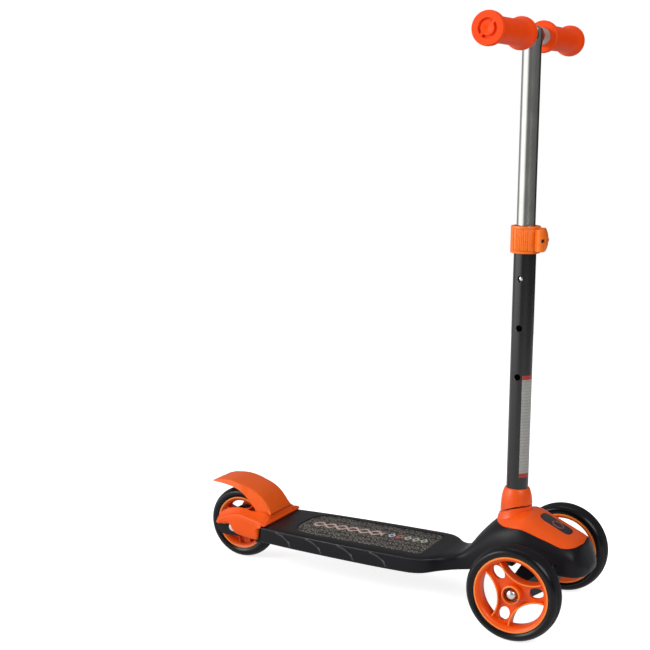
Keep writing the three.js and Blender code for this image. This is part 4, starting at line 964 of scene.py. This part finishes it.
tube = round_column("lower_column_tube", [
    (column_inner, 75.3), (column_radius - 0.3, 75.3), (column_radius, 75.6),
    (column_radius, column_top - 0.4), (column_radius - 0.4, column_top), (column_inner, column_top)], 128)
combine(tube, [turned("height_hole", [(0, -16), (4.3, -16), (4.3, -13.6), (3.9, -13.2), (3.9, 0), (0, 0)],
                      (column_x, 0, z), "y", 48) for z in hole_heights], crease=30)
dress(tube, powder_coat())
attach(tube, "frame")
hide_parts("lower_tube")

strip_low, strip_high, strip_from, strip_to = 179.5, 312.5, 4, -64


def reflective_strip():
    """A pale strip with a fine net of cells and rules across it, and a red band at each end."""
    finish = Finish("plain_reflective_strip")
    height = finish.axis("Z", finish.place()) * 1000
    net = finish.out(finish.add("TexVoronoi", {"feature": "DISTANCE_TO_EDGE"},
                                Vector=finish.place(), Scale=520))
    cloud = finish.noise(60, 2)
    pale = finish.mix(cloud, colour(150, 150, 146), colour(172, 172, 168))
    netted = finish.mix((net < 0.08) * 0.35, pale, colour(112, 112, 110))
    ruled = finish.mix(((height / 4.0).part() < 0.3) * 0.35, netted, colour(96, 96, 96))
    tone = finish.mix((height - strip_low).least(strip_high - height) < 5.5, ruled, colour(160, 44, 36))
    return finish.surface(tone, cloud * 0.1 + 0.35, net, 0.3, 0.00005)


strip_plan = (circle(column_radius + 0.22, strip_to, strip_from, 16, column_x)
              + circle(column_radius + 0.02, strip_from, strip_to, 16, column_x))
strip_heights = [strip_low + (strip_high - strip_low) * i / 6 for i in range(7)]
strip = skin("column_reflective_strip", [[(x, y, z) for x, y in strip_plan] for z in strip_heights], 40)
dress(strip, reflective_strip())
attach(strip, "frame")

bush = round_column("nylon_guide_bush", [
    (12, column_top - 36), (12.5, column_top - 36), (12.5, column_top + 0.3), (13.7, column_top + 0.3),
    (14, column_top + 0.6), (14, column_top + 1.1), (13.6, column_top + 1.5), (12.3, column_top + 1.5),
    (12, column_top + 1.2)])
dress(bush, black_plastic)
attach(bush, "frame")
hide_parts("guide_bush")
repaint(black_plastic, "column_plug")
repaint(zinc, "column_screw")

# Handlebar. A drawn and polished aluminium stem with a crossbar welded through its top; the stem
# slides in the lower column, and a sprung button with a nickel dome locks it at one of three heights.

bar_height, stem_radius, bar_radius, bar_half = 733, 11.7, 11, 146.7
stem_top = bar_height - 5.3


def drawn_aluminium():
    """Fine lines along the stem; the crossbar, beside it, is a little duller."""
    finish = Finish("drawn_aluminium")
    drawn_out = finish.add("Mapping", Vector=finish.place(), Scale=(1, 1, 0.02))
    lines = finish.noise(1500, 3, finish.out(drawn_out))
    cloud = finish.noise(40, 2)
    beside = finish.ease(finish.axis("Y", finish.place()).size(), 0.0135, 0.0145)
    return finish.surface(finish.mix(cloud, colour(176, 176, 172), colour(198, 198, 194)),
                          lines * 0.08 + cloud * 0.04 + beside * 0.3 + 0.13, lines, 0.12, 0.00002,
                          metallic=1.0 - beside * 0.45)


stem = round_column("welded_t_bar", [(0, 400), (stem_radius - 0.3, 400), (stem_radius, 400.3),
                                     (stem_radius, stem_top), (0, stem_top)], 128)
bar = rod("bar", bar_radius, -bar_half, bar_half, (column_x, 0, bar_height), steps=96)
shoulder = round_column("shoulder", [(0, bar_height - 14)] + [(stem_radius + r, bar_height + z) for r, z in [
    (-0.1, -14), (0.9, -9.5), (1.2, -6), (1.2, 4), (0.2, 8), (-3, 10.6)]] + [(0, bar_height + 11.3)])
combine(stem, [shoulder, bar], "UNION")
combine(stem, [rod("bar_bore", 9.6, -150, 150, (column_x, 0, bar_height), steps=96),
               on_column("stem_bore", 10.5, 390, bar_height - 4, 90),
               rod("button_hole", 3.6, -14, 0, (column_x, 0, hole_heights[0]), steps=48)], crease=35)
dress(stem, drawn_aluminium())
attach(stem, "t_bar")
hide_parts("handlebar")

button = turned("snap_button_dome", [(0, -4.4), (4.6, -4.4), (4.6, -5.6), (3.3, -5.6), (3.3, -10.6),
                                     (3.0, -11.5), (2.3, -12.1), (1.2, -12.45), (0, -12.55)],
                (column_x, 0, hole_heights[0]), "y", 48, 50)
dress(button, chrome)
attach(button, "button")
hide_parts("snap_button")
repaint(zinc, "button_spring")

# Grips. Soft orange mouldings with a bulb at each end and fine rings between; the closed outer end
# has a moulded groove in two halves.

grip_inner, grip_outer, grip_waist, grip_flange = 35.5, 150, 15.3, 20
grip_rows = [(0, 0.66), (0.008, 0.86), (0.022, 0.97), (0.04, 1), (0.062, 0.97), (0.085, 0.84), (0.11, 0.56),
             (0.14, 0.3), (0.18, 0.15), (0.26, 0.07), (0.45, 0.03), (0.65, 0.02), (0.78, 0.04), (0.835, 0.13),
             (0.872, 0.38), (0.9, 0.7), (0.925, 0.91), (0.95, 0.99), (0.97, 1), (0.986, 0.94), (1, 0.74)]
ring_pitch, ring_depth = 1.9, 0.22


def soft_grip():
    finish = Finish("soft_orange_grip")
    cloud, fine = finish.noise(40, 3), finish.noise(900, 3)
    return finish.surface(finish.mix(cloud, colour(240, 66, 8), colour(247, 76, 12)),
                          cloud * 0.1 + 0.4, fine, 0.35, 0.0001, 0.16)


def grip_form(name, outward):
    length = grip_outer - grip_inner
    line = [(grip_waist + (grip_flange - grip_waist) * min(1, across), grip_inner + length * along)
            for along, across in through(grip_rows)]
    ringed = []
    for (r0, y0), (r1, y1) in zip(line, line[1:]):
        parts = max(1, round((y1 - y0) / (ring_pitch / 4)))
        for i in range(parts):
            t = i / parts
            r, y = r0 + (r1 - r0) * t, y0 + (y1 - y0) * t
            share = (y - grip_inner) / length
            fade = max(0, min(1, (share - 0.13) / 0.03, (0.85 - share) / 0.03))
            ringed.append((r - ring_depth * fade * (0.5 - 0.5 * math.cos(math.tau * y / ring_pitch)), y))
    end = line[-1]
    shell = turned(name, [(0, grip_inner + 0.02), (11.3, grip_inner), (line[0][0], grip_inner)] + ringed[1:]
                   + [end, (end[0] - 1.2, grip_outer), (1.6, grip_outer), (1.0, grip_outer - 0.5),
                      (0, grip_outer - 0.6)], steps=128, crease=40)
    groove = turned("groove", both_ends([(8.1, 147), (11.6, 147)], 150.5))
    combine(groove, [lay(box("bridge", -1.6, 1.6, 100, 160, -30, 30), (0, 0, 0), math.radians(45))])
    combine(shell, [groove, rod("bar_room", 11.3, 20, 146.9)], crease=40)
    return place_at(mirrored(shell) if outward < 0 else shell, column_x, 0, bar_height)


grip_finish = soft_grip()
for node, outward in (("grip_left", 1), ("grip_right", -1)):
    grip = grip_form(node + "_ringed", outward)
    dress(grip, grip_finish)
    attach(grip, "t_bar")
    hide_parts(node)

# Clamp. An orange slit collar with two ears drawn together by a bolt; its lever wraps round the
# rider's right-hand side between two rims and has grip ribs along its free end.

clamp_low, clamp_high, clamp_radius = 467, 501, 18.6
clamp_middle = (clamp_low + clamp_high) / 2
bolt_x, pin_y = column_x + 23.5, -11.8


def on_bolt(name, radius, low, high, steps=40):
    return rod(name, radius, low, high, (bolt_x, 0, clamp_middle), "y", steps)


def on_pin(name, profile, steps=40):
    return turned(name, profile, (bolt_x, pin_y, 0), "z", steps)


def plain(radius, low, high):
    return [(0, low), (radius, low), (radius, high), (0, high)]


def chamfered(radius, low, high, chamfer):
    return [(0, low), (radius - chamfer, low), (radius, low + chamfer), (radius, high - chamfer),
            (radius - chamfer, high), (0, high)]


collar_half = [(0, clamp_low), (17.8, clamp_low), (18.4, clamp_low + 0.3), (clamp_radius, clamp_low + 0.9)]
collar = round_column("clamp_slit_collar", both_ends(collar_half, clamp_middle), 144)
combine(collar, [slab("recess", circle(24, -124.5, 0, 60, column_x) + circle(15.6, 0, -124.5, 60, column_x),
                      clamp_low + 3, clamp_high - 3)])
ear_foot, ear_curve, ear_head = ([(column_x + x, clamp_low + z) for x, z in rows] for rows in (
    [(12, 2), (23.4, 2)],
    [(24.4, 2.6), (26.2, 6.5), (27.5, 11.5), (27.9, 17), (27.5, 22.5), (26.2, 27.5), (24.4, 31.4)],
    [(23.4, 32), (12, 32)]))
ears = soften(slab("ears", ear_foot + through(ear_curve, parts=5) + ear_head, -6.5, 6.5, "y"), 0.8, 3)
nut_boss = soften(rod("nut_boss", 5, 4, 9.6, (bolt_x - 0.9, 0, clamp_middle), "y", 48), 0.6)
combine(ears, [nut_boss], "UNION")
combine(collar, [ears], "UNION")
combine(collar, [on_column("tube_room", column_bore, 400, 600, 96),
                 box("slit", column_x, column_x + 40, -0.7, 0.7, 400, 600),
                 on_bolt("bolt_hole", 2.8, -30, 30), on_bolt("nut_pocket", 3.9, 6.5, 20, 6)], crease=30)

lever_from, lever_to, lever_low, lever_high = -122, -34, clamp_low + 3.3, clamp_high - 3.3
ribs_start, ribs_end, rib_count, rib_depth = 0.12, 0.73, 7, 0.75
outer_arc = []
for i in range(241):
    share = i / 240
    angle = math.radians(lever_from + (lever_to - lever_from) * share)
    wave = math.cos(math.tau * rib_count * (share - ribs_start) / (ribs_end - ribs_start))
    dip = (0.5 - 0.5 * wave) ** 1.6 if ribs_start < share < ribs_end else 0
    radius = clamp_radius - rib_depth * dip
    outer_arc.append((column_x + radius * math.cos(angle), radius * math.sin(angle)))
lever = slab("clamp_wrap_lever", outer_arc + [(bolt_x, pin_y - 5), (bolt_x, pin_y + 4.7)]
             + circle(15.9, lever_to + 8, lever_from, 40, column_x), lever_low, lever_high, crease=25)
soften(lever, 0.4, angle=60, crease=25)
combine(lever, [on_pin("knuckle", chamfered(5, lever_low, lever_high, 0.5), 48)], "UNION")
slot_half, slot_reach, slot_from = 2.4, 12, math.radians(-120)
slot_plan = [(bolt_x + reach * math.cos(angle), pin_y + reach * math.sin(angle))
             for reach, angle in ((slot_half, slot_from), (12.2, slot_from + 1.37))]
slot_plan += circle(slot_reach, -30, 90, 16, bolt_x, pin_y) + [
    (bolt_x - slot_half, pin_y + slot_reach), (bolt_x - slot_half, pin_y)]
pin_hole = plain(2.3, 400, 600)
combine(lever, [on_pin("eye_room", plain(4.1, clamp_middle - 4.4, clamp_middle + 4.4), 48),
                slab("shank_slot", slot_plan, clamp_middle - 2.2, clamp_middle + 2.2),
                on_pin("pin_hole", pin_hole)], crease=25)
pin = on_pin("lever_steel_pin", chamfered(2, lever_low, lever_high, 0.3))
eye = on_pin("clamp_eye_bolt", chamfered(3.6, clamp_middle - 4, clamp_middle + 4, 0.4), 48)
combine(eye, [on_bolt("shank", 2, pin_y + 2.6, 10.8)], "UNION")
combine(eye, [on_pin("eye_hole", pin_hole)])
nut = slab("clamp_hex_nut", circle(3.6, 0, 300, 5), 6.8, 10.4, "y")
nut_chamfer = turned("chamfer", [(0, 6), (3.7, 6), (3.7, 9.9), (3.1, 10.4), (0, 10.4)], steps=48)
combine(nut, [nut_chamfer], "INTERSECT")
combine(nut, [rod("nut_bore", 2.8, 0, 20, steps=40)])
place_at(nut, bolt_x, 0, clamp_middle)
amber_plastic = moulded("orange_nylon", colour(240, 114, 22), 0.36, 0.00006, 0.4, shift=0.02)
# The eye bolt takes the dark steel so that the lever's slot shows dark: painted shade.
for obj, node, material, slot, body in [
    (collar, "clamp_collar", amber_plastic, "orange_plastic", "frame"),
    (lever, "clamp_lever", amber_plastic, "orange_plastic", "lever"),
    (pin, "lever_pin", zinc, "zinc_steel", "frame"),
    (eye, "clamp_bolt", shade_dark_steel, "zinc_steel", "frame"),
    (nut, "clamp_nut", zinc, "zinc_steel", "frame"),
]:
    dress(obj, material)
    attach(obj, body)
    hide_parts(node)

# Rear cover. An orange moulded saddle over the fork: a lip across the deck, a riser that meets the
# fender and a bulged cheek down each side that hides the axle.

cheek_top = [(-27, 57, 56.4), (-25, 62, 58.6), (-21, 68.6, 62.4), (-14, 74.2, 67), (-6, 77.8, 70.6),
             (4, 80.6, 73.8), (14, 81.6, 75.6), (22, 80.8, 75.6), (30, 79.4, 74.4), (38, 79.2, 73.4),
             (46, 80, 72.6), (54, 79.6, 71), (59, 76.4, 69.3), (61.6, 74.2, 69), (63.2, 71.8, 68.6),
             (65, 69.5, 68.2)]
cheek_low = [(64.6, 67.4), (61, 67), (56.6, 66), (53.8, 63), (52.4, 58.5), (51.6, 52), (50.2, 46), (47, 43),
             (42, 42.6), (31, 42.8), (20, 43.3), (10, 44.8), (4, 49.2), (1, 53.4), (-2, 56.2), (-6, 56.2),
             (-12, 54.4), (-18, 54.2), (-23, 52.8), (-26, 54)]
cheek_room = [(-10, 59.6), (-2, 59.6), (3, 54), (8, 49.4), (12, 47.3), (22, 45.7), (44, 45), (47.6, 48),
              (49, 54), (49.6, 60), (49.6, 62.3), (38, 62.3), (37.8, 70.4), (30, 71.8), (22, 73), (14, 73),
              (4, 71.2), (-6, 68), (-10, 65.8)]
cheek_inner, cover_plate_top = 32, 69.5


def cheek_half(x):
    """How far out a cheek's face stands."""
    return 37 + (x + 26) / 90 * 12.8


def level(rows, x):
    """The height at x of a line through rows of (x, height)."""
    for (x0, z0), (x1, z1) in zip(rows, rows[1:]):
        if x0 <= x <= x1:
            return z0 + (z1 - z0) * (x - x0) / (x1 - x0)
    return rows[0][1] if x < rows[0][0] else rows[-1][1]


def cheek_skin(name):
    """A cheek as layers from its inner face out, sloping down to a rounded shoulder and a bulged face."""
    line = through(cheek_top + [(x, z, z) for x, z in cheek_low], closed=True, parts=4)
    low, high = sorted(cheek_low), [(x, z) for x, _, z in cheek_top]
    rings = []
    for slope, out, shrink in [(0, 0, 0), (0.45, 0, 0), (1, -4.2, 0), (1, -2.4, 0.35), (1, -1.1, 1.1),
                               (1, -0.3, 2.3), (1, 0.1, 3.8), (1, 0.5, 6.5), (1, 0.8, 10)]:
        ring = []
        for x, z_in, z_out in line:
            z = z_in + (z_out - z_in) * slope
            middle_x = max(-20, min(46, x))
            middle_z = (level(low, middle_x) + level(high, middle_x)) / 2
            to = Vector((middle_x - x, middle_z - z))
            by = min(shrink, 0.62 * to.length)
            moved = Vector((x, z)) + (to.normalized() * by if to.length > 0.01 else to)
            y = cheek_half(x) + out
            if slope < 1:
                y = cheek_inner + (cheek_half(x) - 4.2 - cheek_inner) * slope
            ring.append((rear_x + moved.x, y, moved.y))
        rings.append(ring)
    return skin(name, rings, 42)


def cheek(name, sign):
    form = cheek_skin(name)
    room = skin("room", [[(rear_x + x, 20, z) for x, z in cheek_room],
                         [(rear_x + x, cheek_half(x) - 2.6, z) for x, z in cheek_room]])
    combine(form, [room, rod("axle_nut_room", 9, 20, 37.4, (rear_x, 0, rear_radius), steps=48)])
    return mirrored(form) if sign < 0 else form


fender_pin_place = (rear_x + 50, 0, 75)
lip_rear_x, lip_front_x, lip_half = deck_rear_x - 1.5, deck_rear_x + 8, 50
lip_outline = rounded([(lip_rear_x, -lip_half, 0), (lip_front_x, -lip_half, 6),
                       (lip_front_x, lip_half, 6), (lip_rear_x, lip_half, 0)])
saddle = soften(slab("rear_cover_saddle", lip_outline, deck_top + 0.3, cover_plate_top), 1.1, 3)
riser_curve = [(64.4, 69.3), (63.5, 69.8), (62.7, 70.8), (62, 72.3), (61.6, 74), (61.4, 75.6)]
riser_side = [(58.4, 66.4), (64.4, 66.4)] + through(riser_curve, parts=4) + [(58.8, 75.6)]
riser = slab("riser", [(rear_x + x, z) for x, z in riser_side], -34, 34, "y")
combine(saddle, [riser, cheek("cheek_left", 1), cheek("cheek_right", -1)], "UNION")
combine(saddle, [box("deck_room", deck_rear_x, deck_rear_x + 60, -70, 70, 0, deck_top + 0.3),
                 box("foot_room", deck_rear_x - 17.5, deck_rear_x + 60, -44.5, 44.5, 0, fork_top + 0.3),
                 rod("pin_room", 2.8, -34.6, 34.6, fender_pin_place, steps=40)], crease=30)
dress(saddle, moulded("orange_rear_cover", colour(235, 84, 8), 0.42, gloss=0.2))
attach(saddle, "frame")
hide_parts("rear_cover")
# The cover screws take the dark steel so that their heads show no glint under the cover: painted shade.
repaint(shade_dark_steel, "rear_cover_screw_left", "rear_cover_screw_right")
repaint(zinc, "fender_pin", "fender_spring")

# Brake fender. An orange moulded shell over the rear wheel, broad and creased along its edges, that
# turns on a steel pin and is pressed on the tyre with the foot.

fender_rows = [
    (-39, 112.4, -37.8, 111.2, 24), (-33, 114.6, -29.5, 111, 24.8), (-26, 116.2, -21, 110.8, 25.8),
    (-7, 117.2, -2.5, 109, 28.3), (9.4, 114.2, 12.5, 104, 30), (22, 110.8, 25, 94, 30),
    (34, 106.4, 34, 84.4, 30), (41, 102.2, 39, 76, 30), (46.8, 97.6, 45, 70.6, 30),
    (53.6, 90, 51.4, 69.9, 30), (58.4, 83.2, 56.6, 71, 30), (61, 78.8, 60.4, 75, 30),
]


def fender_form(name):
    """The shell as rings across the wheel, each crowned on top, with side walls down to its rim."""
    stations, last = [], len(fender_rows) - 1
    for i in range(last):
        quad = [fender_rows[max(0, min(last, i + j))] for j in (-1, 0, 1, 2)]
        for t in [k / 6 for k in range(6)]:
            stations.append([0.5 * (2 * b + (c - a) * t + (2 * a - 5 * b + 4 * c - d) * t * t
                                    + (3 * b - a - 3 * c + d) * t ** 3) for a, b, c, d in zip(*quad)])
    rings = []
    for tx, tz, sx, sz, wide in stations + [fender_rows[-1]]:
        tall = math.hypot(tx - sx, tz - sz)
        round_by, wall = min(2.4, 0.42 * tall), min(2.8, 0.55 * tall)
        top_half = wide - min(3.2, 0.2 * tall)
        outer = [(wide, 0.0), (wide - 0.25 * (wide - top_half), 0.35 * (tall - round_by)),
                 (top_half, tall - round_by)]
        outer += [(top_half - round_by * (1 - math.cos(a)), tall - round_by + round_by * math.sin(a))
                  for a in [math.pi / 2 * k / 5 for k in range(1, 6)]]
        outer += [((top_half - round_by) * (1 - s), tall + 0.9 * (1 - (1 - s) ** 2) * min(1, tall / 8))
                  for s in [k / 8 for k in range(1, 9)]]
        inner = [(wide - wall, 0.0), (top_half - wall, tall - round_by - wall * 0.6),
                 (top_half - wall - 1.5, tall - wall), (0, tall - wall)]
        ring = outer + [(-y, v) for y, v in outer[-2::-1]] + [(-y, v) for y, v in inner] + inner[-2::-1]
        ux, uz = (tx - sx) / tall, (tz - sz) / tall
        rings.append([(rear_x + sx + ux * v, y, sz + uz * v) for y, v in ring])
    return skin(name, rings, 38)


def fender_plastic():
    """Orange moulded plastic with fine ridges across the faces that look up."""
    finish = Finish("orange_fender")
    cloud, fine = finish.noise(26, 3), finish.noise(1400, 2)
    looks_up = finish.axis("Z", finish.out(finish.add("NewGeometry"), "Normal")) > 0.3
    ridges = (finish.axis("X", finish.place()) * 1800).sine() * looks_up
    return finish.surface(finish.mix(cloud, colour(236, 88, 8), colour(244, 98, 12)),
                          cloud * 0.1 + 0.34, fine + ridges * 0.7, 0.3, 0.0001, 0.32)


fender = fender_form("brake_fender_shell")
combine(fender, [rod("ear", 5.5, low, low + 4, fender_pin_place, steps=48) for low in (26, -30)], "UNION")
combine(fender, [rod("pin_room", 2.8, -60, 60, fender_pin_place, steps=40)], crease=38)
dress(fender, fender_plastic())
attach(fender, "brake")
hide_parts("brake_fender")
